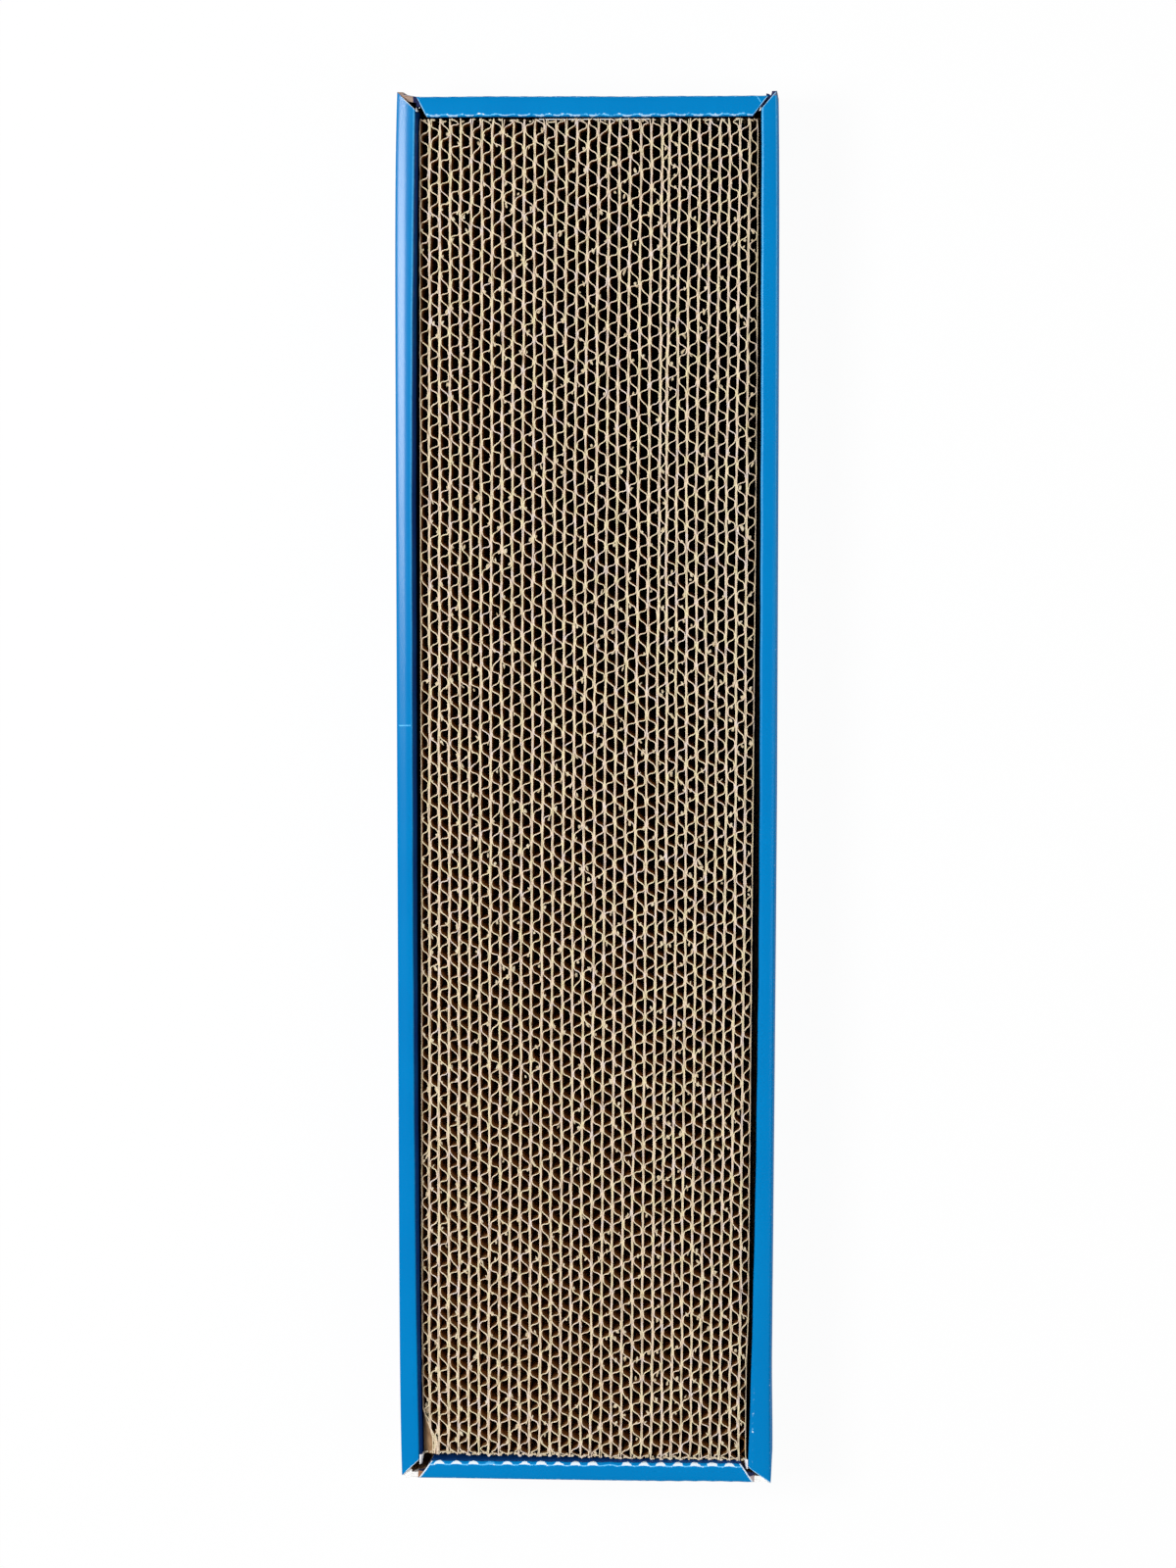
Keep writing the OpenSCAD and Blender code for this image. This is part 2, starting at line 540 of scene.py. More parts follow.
        # Rubs along the inner and the outer crease: partly thin print, partly painted highlight.
        if self.rub_and_highlight:
            line = self.rub_and_highlight_line(along, past - self.rub_and_highlight_middle, self.rub_and_highlight)
            ink = g.blended(line * uneven, ink, self.pale_ink_and_highlight)
        if self.outer_rub_and_highlight:
            line = self.rub_and_highlight_line(along, edge - self.outer_rub_and_highlight_middle, self.outer_rub_and_highlight)
            ink = g.blended(line * uneven, ink, self.pale_ink_and_highlight)
        if self.scratch_at is not None:
            mark = abs(along - self.scratch_at + noise * self.scratch_noise).span(*self.hair_widths)
            mark = mark * edge.span(*self.scratch_start) * past.span(*self.scratch_end)
            ink = g.blended(mark * uneven, ink, self.pale_ink_and_highlight)
        if self.bare_tip is not None:
            bare = along + noise * self.bare_noise
            bare = bare.span(self.bare_tip - self.bare_rise, self.bare_tip)
            ink = g.blended(bare, ink, self.raw)
        if self.tear_at is not None:
            tear = abs(along - self.tear_at - edge * self.tear_lean).span(*self.tear_widths)
            tear = tear * edge.span(*self.tear_end) * edge.span(*self.tear_start)
            ink = g.blended(tear, ink, self.pale_ink_and_highlight)
        return ink

    def surface(self, g: Graph) -> Sockets:
        """Work out the inputs of the surface shader.

        Args:
            g: The finish's tree.

        Returns:
            The inputs, by name.
        """
        flat = g.sheet_place()
        along, across = g.part(flat, 0), g.part(flat, 1)
        past, edge = across - self.inner_crease, across - self.outer_crease
        grain = g.grain(g.place(), self.grain_size)
        mottle = g.grain(g.stretched(g.place(), (1.0, 1.0, 0.5)), self.mottle_size, 3.0)
        # Painted shade: past the inner crease the ink turns navy down the inner panel.
        ink = g.blended(past.span(self.painted_shade_start, self.painted_shade_reach), self.ink, self.painted_shade_ink)
        patches = g.grain(g.place(), self.patch_size).span(0.35, 0.7)
        ink = g.blended(patches * 0.1, ink, self.patch_ink)
        ink = self.handled(g, ink, along, across, mottle)
        faded = self.hair(along, edge, mottle, self.outer_hair) * 0.6
        if self.hair_share:
            low, high = self.hair_reach
            crease = self.hair(along, past + self.base, mottle, self.hair_share)
            faded = faded.most(crease * along.span(high, low))
        worn = faded * mottle.span(0.56, 0.72)
        if self.crack_height:
            crack = self.cracks(g, along, past, mottle)
            worn = worn.most(crack.span(0.3, 0.9) * self.crack_white)
            faded = faded.most(crack * (1.6 * self.crack_white))
        ink = g.blended(faded.least(1.0), ink, self.pale_ink_and_highlight)
        ribs = (along if self.flutes_cross else across) * (2 * math.pi / self.flute)
        gloss = along.span(*self.gloss_reach) * (self.gloss - self.least_gloss) + self.least_gloss
        return {
            "Base Color": g.blended(worn, ink, self.paper),
            "Roughness": (grain * 0.12 + 0.40).most(worn * 0.8),
            "Specular IOR Level": 0.0,
            "Coat Weight": (1.0 - worn) * gloss,
            "Coat Roughness": 0.2,
            "Normal": g.relief(ribs.wave() * 0.5 + grain * 0.25, self.rib_depth),
        }


@dataclass(frozen=True)
class PaperBurr(Finish):
    """White paper that stands up along a knife cut in the print."""

    name: str = "white_cut_burr"
    paper: Colour = tint(222, 238, 248)
    ink: Colour = tint(60, 150, 208)
    grain_size: float = 1.4 * MM
    depth: float = 0.05 * MM

    def surface(self, g: Graph) -> Sockets:
        """Work out the inputs of the surface shader.

        Args:
            g: The finish's tree.

        Returns:
            The inputs, by name.
        """
        broken = g.grain(g.place(), self.grain_size, 3.0)
        return {
            "Base Color": g.blended(broken.span(0.52, 0.72), self.paper, self.ink),
            "Roughness": broken * 0.2 + 0.7,
            "Normal": g.relief(broken, self.depth),
        }


@dataclass(frozen=True)
class CornerTones:
    """Tones of the raw board at the tray's top corners, each of them as it is in the photograph.

    A pair of places says where a tone starts and where it is whole. The navy and the dark tones are
    painted shade, on the cuts short of their front tips and on the wedge at the back right.
    """

    level: Pair = (42.5 * MM, 44.5 * MM)
    across_start: Pair = (52 * MM, 53 * MM)
    along_start: Pair = (231 * MM, 232 * MM)
    cut_across: Pair = (58.7 * MM, 58.9 * MM)
    cut_along: Pair = (236.2 * MM, 236.5 * MM)
    tip: Pair = (237.4 * MM, 237.7 * MM)
    white: Colour = tint(252, 252, 250)
    greyish: Colour = tint(176, 150, 134)
    # painted shade: the raw board at the corners where it lies in shadow
    painted_shade_navy: Colour = tint(14, 28, 78)
    dark: Colour = tint(24, 26, 58)
    brown: Colour = tint(160, 108, 76)
    rosy: Colour = tint(206, 184, 184)

    def over(self, g: Graph, colour: Shade) -> Shade:
        """Lay the tones over a colour.

        Args:
            g: The finish's tree.
            colour: Colour of the board elsewhere.

        Returns:
            The colour with the tones.
        """
        spot = g.place()
        across, along = abs(g.part(spot, 0)), abs(g.part(spot, 1))
        right, back = g.side(spot, 0), g.side(spot, 1)
        tip = along.span(*self.tip)
        # Painted shade: the cuts are dark on the left and navy on the right short of the front tips,
        # all navy at the back, and the back right wedge is navy.
        left_cut = g.blended(tip, self.dark, self.brown)
        right_cut = g.blended(tip, self.painted_shade_navy, self.rosy)
        cut = g.blended(back, g.blended(right, left_cut, right_cut), self.painted_shade_navy)
        wedge = g.blended(back, self.white, g.blended(right, self.greyish, self.painted_shade_navy))
        beyond = across.span(*self.cut_across) * along.span(*self.cut_along)
        near = g.part(spot, 2).span(*self.level)
        near = near * across.span(*self.across_start) * along.span(*self.along_start)
        return g.blended(near, colour, g.blended(beyond, cut, wedge))


@dataclass(frozen=True)
class BareBoard(Finish):
    """Brown liner on the unprinted side of the tray's board."""

    name: str = "bare_board_lining"
    brown: Colour = tint(176, 142, 104)
    pale: Colour = tint(200, 170, 132)
    cloud_size: float = 12 * MM
    depth: float = 0.06 * MM

    def surface(self, g: Graph) -> Sockets:
        """Work out the inputs of the surface shader.

        Args:
            g: The finish's tree.

        Returns:
            The inputs, by name.
        """
        fibres = g.fibres(g.place())
        clouds = g.grain(g.place(), self.cloud_size)
        colour = g.blended(fibres.span(0.3, 0.75), self.brown, self.pale)
        colour = g.blended(clouds.span(0.4, 0.7) * 0.3, colour, self.brown)
        return {
            "Base Color": CornerTones().over(g, colour),
            "Roughness": fibres * 0.15 + 0.75,
            "Normal": g.relief(fibres, self.depth),
        }


@dataclass(frozen=True)
class CutEdge(Finish):
    """Cut edge of the tray's board: two liners, the fluted medium between them, and painted shade in
    the hollows.
    """

    thickness: float
    wavy: bool
    white_depth: float = 0.3 * MM
    white_rise: float = 0.08 * MM
    white_noise: float = 0.4 * MM
    liner: Colour = tint(196, 168, 142)
    print_side: Colour = tint(240, 240, 240)
    # painted shade: the dark of the hollow flutes between the liners
    painted_hollow_shade: Colour = tint(92, 66, 50)
    flute: float = 6.1 * MM
    straight_swing: float = 0.1 * MM
    liner_room: float = 0.4 * MM
    liner_reach: Pair = (0.42 * MM, 0.3 * MM)
    medium_widths: Pair = (0.34 * MM, 0.16 * MM)
    fuzz_size: float = 0.5 * MM
    depth: float = 0.12 * MM

    def surface(self, g: Graph) -> Sockets:
        """Work out the inputs of the surface shader.

        Args:
            g: The finish's tree.

        Returns:
            The inputs, by name.
        """
        flat = g.sheet_place()
        along, deep = g.part(flat, 0), g.part(flat, 1)
        fuzz = g.grain(g.place(), self.fuzz_size, 3.0)
        half = self.thickness / 2
        middle = deep - half
        swing = (half - self.liner_room) if self.wavy else self.straight_swing
        line = (along * (2 * math.pi / self.flute)).wave() * swing
        medium = abs(middle - line).span(*self.medium_widths)
        liners = abs(middle).span(*(half - reach for reach in self.liner_reach))
        solid = medium.most(liners)
        # Painted shade: between the liners and the medium the hollow flutes are painted dark brown,
        # and patches of it are mixed in at random.
        colour = g.blended(solid, self.painted_hollow_shade, self.liner)
        colour = g.blended(fuzz.span(0.35, 0.8) * 0.4, colour, self.painted_hollow_shade)
        white = deep + (fuzz - 0.5) * self.white_noise
        white = white.span(self.white_depth + self.white_rise, self.white_depth - self.white_rise)
        colour = g.blended(white, colour, self.print_side)
        return {
            "Base Color": CornerTones().over(g, colour),
            "Roughness": fuzz * 0.1 + 0.85,
            "Normal": g.relief(solid + fuzz * 0.4, self.depth),
        }


@dataclass(frozen=True)
class CornerBoard(Finish):
    """Corner flap: printed outside, bare inside, raw along its top, with painted shade on the right
    flaps' tops.
    """

    name: str = "corner_flap_board"
    bend: Pair = (61.03 * MM, 237.1 * MM)
    radius: float = 2.1 * MM
    print_depth: Pair = (0.14 * MM, 0.04 * MM)
    top: float = 47.95 * MM
    top_depth: Pair = (0.08 * MM, 0.03 * MM)
    tip: Pair = (236.8 * MM, 237.8 * MM)
    ink: Colour = tint(0, 131, 203)
    brown: Colour = tint(150, 118, 88)
    pale: Colour = tint(190, 158, 122)
    raw: Colour = tint(178, 148, 128)
    white: Colour = tint(246, 246, 244)
    painted_shade: Colour = tint(20, 36, 84)
    rosy: Colour = tint(206, 184, 184)
    depth: float = 0.06 * MM

    def surface(self, g: Graph) -> Sockets:
        """Work out the inputs of the surface shader.

        Args:
            g: The finish's tree.

        Returns:
            The inputs, by name.
        """
        spot = g.place()
        fibres = g.fibres(spot)
        middle_x, middle_y = self.bend
        across = (abs(g.part(spot, 0)) - middle_x).most(0.0)
        along = (abs(g.part(spot, 1)) - middle_y).most(0.0)
        out = (across * across + along * along).root()
        printed = out.span(*(self.radius - deep for deep in self.print_depth))
        right, tip = g.side(spot, 0), abs(g.part(spot, 1)).span(*self.tip)
        # Painted shade: the raw top of the right-hand flaps is navy, short of the front tip, which is
        # rosy.
        front = g.blended(right, self.white, g.blended(tip, self.painted_shade, self.rosy))
        back = g.blended(right, self.raw, self.painted_shade)
        raw = g.blended(g.side(spot, 1), front, back)
        colour = g.blended(fibres.span(0.3, 0.75) * 0.5, self.brown, self.pale)
        colour = g.blended(printed, colour, self.ink)
        high = g.part(spot, 2).span(*(self.top - deep for deep in self.top_depth))
        return {
            "Base Color": g.blended(high, colour, raw),
            "Roughness": fibres * 0.15 + 0.7,
            "Specular IOR Level": 0.0,
            "Normal": g.relief(fibres, self.depth),
        }


@dataclass(frozen=True)
class TrayFloor(Finish):
    """Floor panel of the tray: bare on top and printed underneath."""

    name: str = "tray_floor_board"
    ink: Colour = tint(0, 131, 203)
    brown: Colour = tint(176, 142, 104)
    pale: Colour = tint(200, 170, 132)
    print_reach: Pair = (0.25 * MM, 0.4 * MM)
    flute: float = 6.1 * MM
    depth: float = 0.04 * MM

    def surface(self, g: Graph) -> Sockets:
        """Work out the inputs of the surface shader.

        Args:
            g: The finish's tree.

        Returns:
            The inputs, by name.
        """
        spot = g.place()
        high = g.part(spot, 2).span(*self.print_reach)
        fibres = g.fibres(spot)
        board = g.blended(fibres.span(0.3, 0.75), self.brown, self.pale)
        ribs = (g.part(spot, 0) * (2 * math.pi / self.flute)).wave()
        return {
            "Base Color": g.blended(high, self.ink, board),
            "Roughness": high * 0.4 + fibres * 0.1 + 0.3,
            "Specular IOR Level": 0.1,
            "Normal": g.relief(ribs * 0.5 + fibres * 0.3, self.depth),
        }


@dataclass(frozen=True)
class FlutedPaper(Finish):
    """Raw brown paper of the strips: pale where sawn, brown in the cells, with painted shade by the
    long walls.
    """

    low: float
    high: float
    yellow: Colour = tint(244, 230, 189)
    sawn: Colour = tint(246, 229, 197)
    rosy: Colour = tint(244, 221, 196)
    lilac: Colour = tint(242, 227, 218)
    tan: Colour = tint(200, 176, 132)
    brown: Colour = tint(142, 105, 62)
    deep: Colour = tint(180, 132, 76)
    dark: Colour = tint(196, 148, 88)
    sawn_reach: Pair = (0.55 * MM, 0.2 * MM)
    sawn_noise: float = 0.5 * MM
    cell_depth: float = 20 * MM
    torn_size: float = 8 * MM
    torn_reach: Pair = (9 * MM, 1 * MM)
    torn_share: float = 0.7
    # painted shade: where the sawn tops darken towards the tray's long walls
    painted_wall_shade_reach: Pair = (53 * MM, 57.5 * MM)
    fuzz_size: float = 0.6 * MM
    cloud_size: float = 4 * MM
    relief_depth: float = 0.08 * MM

    def surface(self, g: Graph) -> Sockets:
        """Work out the inputs of the surface shader.

        Args:
            g: The finish's tree.

        Returns:
            The inputs, by name.
        """
        spot = g.place()
        height = g.part(spot, 2)
        fuzz = g.grain(spot, self.fuzz_size, 3.0)
        clouds = g.grain(spot, self.cloud_size)
        depth = (self.high - height).least(height - self.low) + (fuzz - 0.5) * self.sawn_noise
        walls = g.ramp(
            depth.span(0.0, self.cell_depth, smooth=False),
            [(0.0, self.tan), (0.035, self.brown), (0.12, self.deep), (0.5, self.dark)],
        )
        torn = g.grain(spot, self.torn_size, 3.0).span(0.54, 0.7) * depth.span(*self.torn_reach)
        walls = g.blended(torn * self.torn_share, walls, self.tan)
        top = g.ramp(
            clouds.span(0.3, 0.7, smooth=False),
            [(0.05, self.yellow), (0.4, self.sawn), (0.65, self.rosy), (0.95, self.lilac)],
        )
        # Painted shade: the sawn tops turn towards tan beside the tray's long walls.
        outer = abs(g.part(spot, 0)).span(*self.painted_wall_shade_reach) * 0.5
        top = g.blended((fuzz.span(0.45, 0.85) * 0.6).most(outer), top, self.tan)
        return {
            "Base Color": g.blended(depth.span(*self.sawn_reach), walls, top),
            "Roughness": fuzz * 0.1 + 0.85,
            "Specular IOR Level": 0.2,
            "Normal": g.relief(fuzz, self.relief_depth),
        }


@dataclass(frozen=True)
class StripFace(Finish):
    """Flat brown face of a strip's liner, with faint ribs of the flutes behind it."""

    name: str = "strip_liner_face"
    flute: float = 7.5 * MM
    brown: Colour = tint(156, 120, 84)
    pale: Colour = tint(182, 146, 108)
    glue: Colour = tint(112, 82, 52)
    fibre_size: float = 0.8 * MM
    cloud_size: float = 14 * MM
    depth: float = 0.1 * MM

    def surface(self, g: Graph) -> Sockets:
        """Work out the inputs of the surface shader.

        Args:
            g: The finish's tree.

        Returns:
            The inputs, by name.
        """
        spot = g.place()
        fibres = g.grain(g.stretched(spot, (1.0, 0.3, 1.0)), self.fibre_size, 4.0)
        clouds = g.grain(spot, self.cloud_size)
        ribs = (g.part(spot, 1) * (2 * math.pi / self.flute)).wave()
        colour = g.blended(fibres.span(0.3, 0.75), self.brown, self.pale)
        colour = g.blended(clouds.span(0.55, 0.7) * 0.35, colour, self.glue)
        return {
            "Base Color": g.blended(ribs.span(0.6, 1.0) * 0.12, colour, self.glue),
            "Roughness": fibres * 0.15 + 0.75,
            "Specular IOR Level": 0.2,
            "Normal": g.relief(ribs * 0.5 + fibres * 0.3, self.depth),
        }


@dataclass(frozen=True)
class TornFibre(Finish):
    """Pale torn paper fibre that stands in and on the sawn top, and at the strips' ends."""

    name: str = "torn_paper_fibre"
    pale: Colour = tint(234, 222, 196)
    warm: Colour = tint(202, 182, 146)
    fuzz_size: float = 1.0 * MM
    depth: float = 0.1 * MM

    def surface(self, g: Graph) -> Sockets:
        """Work out the inputs of the surface shader.

        Args:
            g: The finish's tree.

        Returns:
            The inputs, by name.
        """
        fuzz = g.grain(g.place(), self.fuzz_size, 3.0)
        return {
            "Base Color": g.blended(fuzz.span(0.3, 0.65), self.pale, self.warm),
            "Roughness": fuzz * 0.1 + 0.88,
            "Specular IOR Level": 0.15,
            "Normal": g.relief(fuzz, self.depth),
        }


@dataclass(frozen=True)
class StudioFloor(Finish):
    """White floor that keeps a faint shadow of the object."""

    name: str = "studio_floor_paper"
    paper: Colour = (0.93, 0.93, 0.93, 1.0)
    greyer: Colour = (0.9, 0.9, 0.9, 1.0)
    grain_size: float = 4 * MM
    glow_share: float = 0.955

    def material(self) -> bpy.types.Material:
        """Make the finish.

        Returns:
            Its material.
        """
        g = Graph(bpy.data.materials.new(self.name))
        grain = g.grain(g.place(), self.grain_size)
        colour = g.blended(grain.span(0.3, 0.7) * 0.04, self.paper, self.greyer)
        paper = g.shader("ShaderNodeBsdfDiffuse", {"Color": colour})
        glow = g.shader("ShaderNodeEmission", {"Strength": 1.0})
        both = g.shader("ShaderNodeMixShader", {0: g.seen() * self.glow_share, 1: paper, 2: glow})
        g.node("ShaderNodeOutputMaterial", None, {"Surface": both})
        return g.owner


class Seed(IntEnum):
    """What each kind of draw adds to the number of the wall, seam or strip that it is for."""

    CHIP = 5
    LONG_WALL = 11
    END_WALL = 23
    BEND = 50
    GRAIN = 77
    TUFT = 300
    FRAY = 500
    SEAM = 700
    JITTER = 900
    STRIP = 1000


@dataclass(frozen=True)
class Waver:
    """Smooth seeded unevenness along a line."""

    seed: int
    size: float
    waves: tuple[float, ...] = (31 * MM, 67 * MM, 140 * MM)

    def at(self, where: np.ndarray) -> np.ndarray:
        """Unevenness at places along the line.

        Args:
            where: Places, in metres.

        Returns:
            Offsets, in metres.
        """
        rng = np.random.default_rng(self.seed)
        total = np.zeros_like(where)
        for wave in self.waves:
            start, share = rng.uniform(0, 2 * math.pi), rng.uniform(0.5, 1.0)
            total = total + share * np.sin(where * (2 * math.pi / wave) + start)
        return total * (self.size / len(self.waves))


class Face(Enum):
    """The faces of a sheet, as its material slots."""

    OUTSIDE = 0
    INSIDE = 1
    END_CUT = 2
    SIDE_CUT = 3
    BURR = 4
    SCRAP = 5


@dataclass
class Sheet:
    """A flat sheet, cut out and made solid while its corners still count columns and rows."""

    columns: int
    rows: int
    keep: Callable[[float, float], bool] | None = None
    near: float = 0.01
    form: bmesh.types.BMesh = field(init=False)

    def __post_init__(self) -> None:
        """Cut the sheet and give it its thickness of one count."""
        self.form = bmesh.new()
        bmesh.ops.create_grid(self.form, x_segments=self.columns, y_segments=self.rows, size=0.5)
        bmesh.ops.translate(self.form, vec=(0.5, 0.5, 0.0), verts=self.form.verts)
        bmesh.ops.scale(self.form, vec=(self.columns, self.rows, 1.0), verts=self.form.verts)
        if self.keep is not None:
            waste = [f for f in self.form.faces if not self.keep(*f.calc_center_median().xy)]
            bmesh.ops.delete(self.form, geom=waste, context="FACES")
        bmesh.ops.solidify(self.form, geom=self.form.faces[:], thickness=1.0)
        for f in self.form.faces:
            f.material_index = self.face(f.calc_center_median()).value

    def face(self, middle: Vector) -> Face:
        """Tell which face of the sheet a place is on.

        Args:
            middle: Middle of a polygon, in counts.

        Returns:
            The face.
        """
        if abs(middle.z) < self.near:
            return Face.OUTSIDE
        if abs(middle.z) > 1 - self.near:
            return Face.INSIDE
        return Face.END_CUT if abs(middle.x - round(middle.x)) < self.near else Face.SIDE_CUT

    def mesh(self, name: str) -> bpy.types.Mesh:
        """Turn the sheet into a mesh.

        Args:
            name: Name of the mesh.

        Returns:
            The mesh, its corners still in counts.
        """
        made = bpy.data.meshes.new(name)
        self.form.to_mesh(made)
        self.form.free()
        return made


def corners(mesh: bpy.types.Mesh) -> np.ndarray:
    """Read the corners of a mesh.

    Args:
        mesh: The mesh.

    Returns:
        One row of three numbers for each corner.
    """
    flat = np.empty(len(mesh.vertices) * 3)
    mesh.vertices.foreach_get("co", flat)
    return flat.reshape(-1, 3)


def set_corners(mesh: bpy.types.Mesh, places: np.ndarray) -> None:
    """Move the corners of a mesh.

    Args:
        mesh: The mesh.
        places: One row of three numbers for each corner.
    """
    mesh.vertices.foreach_set("co", np.ascontiguousarray(places, dtype=np.float32).ravel())
    mesh.update()


@contextmanager
def edited(mesh: bpy.types.Mesh) -> Iterator[bmesh.types.BMesh]:
    """Open a mesh as a form, and put the form back into it at the end.

    Args:
        mesh: The mesh.

    Yields:
        The form.
    """
    form = bmesh.new()
    form.from_mesh(mesh)
    yield form
    form.to_mesh(mesh)
    form.free()


def outward(form: bmesh.types.BMesh) -> None:
    """Turn the faces of a closed form outwards."""
    bmesh.ops.recalc_face_normals(form, faces=form.faces)


def piece(mesh: bpy.types.Mesh, body: str, nodes: Sequence[str]) -> bpy.types.Object:
    """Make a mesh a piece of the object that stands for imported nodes.

    Args:
        mesh: The finished mesh.
        body: Body that it rides on.
        nodes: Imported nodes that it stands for.

    Returns:
        The piece.
    """
    made = bpy.data.objects.new(mesh.name, mesh)
    bpy.context.scene.collection.objects.link(made)
    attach(made, body)
    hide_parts(*nodes)
    LOG.info("%s: %d faces, on %s", made.name, len(mesh.polygons), body)
    return made


@dataclass(frozen=True)
class Section:
    """Section of a double wall, as matched places on its printed and its bare side."""

    thickness: float = 1.8 * MM
    height: float = 50 * MM
    rim: float = 5.9 * MM
    crease: float = 1.2 * MM
    floor_inner: float = 0.3 * MM
    crease_inner: float = 0.2 * MM
    crown: float = 0.35 * MM
    crown_reach: float = 0.55
    crown_power: float = 2.0
    crown_levels: Pair = (45 * MM, 49.5 * MM)
    turn_steps: int = 4
    outer_levels: tuple[float, ...] = (8 * MM, 16 * MM, 24 * MM, 32 * MM, 40 * MM, 45 * MM)
    inner_levels: tuple[float, ...] = (46.5 * MM, 44 * MM, 40 * MM, 32 * MM, 24 * MM, 16 * MM, 8 * MM)
    rim_shares: tuple[float, ...] = (0.2, 0.4, 0.6, 0.8)

    def rows(self) -> np.ndarray:
        """List the section's places.

        Returns:
            Rows of depth and height on the printed side, then on the bare side.
        """
        t, h, w, c = self.thickness, self.height, self.rim, self.crease
        f, ri = t + self.floor_inner, self.crease_inner
        turn = [math.radians(a) for a in np.linspace(0, 90, self.turn_steps + 1)]
        made = [
            (
                f - f * math.sin(a),
                f - f * math.cos(a),
                f - self.floor_inner * math.sin(a),
                f - self.floor_inner * math.cos(a),
            )
            for a in turn
        ]
        made += [(0.0, z, t, z) for z in self.outer_levels]
        made += [
            (
                c - c * math.cos(a),
                h - c + c * math.sin(a),
                t + ri - ri * math.cos(a),
                h - t - ri + ri * math.sin(a),
            )
            for a in turn
        ]
        for share in self.rim_shares:
            inner = t + ri + share * (w - 2 * (t + ri))
            made.append((c + share * (w - 2 * c), h, inner, h - t))
        made += [
            (
                w - c + c * math.sin(a),
                h - c + c * math.cos(a),
                w - t - ri + ri * math.sin(a),
                h - t - ri + ri * math.cos(a),
            )
            for a in turn
        ]
        made += [(w, z, w - t, z) for z in self.inner_levels]
        made.append((w, t, w - t, t))
        rows = np.array(made)
        inward = np.clip(1 - rows[:, 0] / (self.crown_reach * w), 0, 1)
        rows[:, 1] -= self.crown * inward**self.crown_power * rise(rows[:, 1], self.crown_levels)
        return rows

    def lengths(self) -> np.ndarray:
        """Measure along the printed side.

        Returns:
            Distance of each row from the first one.
        """
        rows = self.rows()
        steps = np.hypot(np.diff(rows[:, 0]), np.diff(rows[:, 1]))
        return np.concatenate([[0.0], np.cumsum(steps)])

    def crease_at(self, depth: float) -> float:
        """Distance along the printed side to the crease in the rim that is nearest to a depth."""
        rows, lengths = self.rows(), self.lengths()
        below = rows[:, 1] < self.height - self.crease - self.crown
        return float(lengths[np.argmin(np.abs(rows[:, 0] - depth) + np.where(below, 1.0, 0.0))])

    def creases(self) -> dict[str, float]:
        """Places of the rim's two creases along the printed side."""
        slope = self.crease * (1 - math.sqrt(0.5))
        return {
            "inner_crease": self.crease_at(self.rim - slope),
            "outer_crease": self.crease_at(slope),
        }


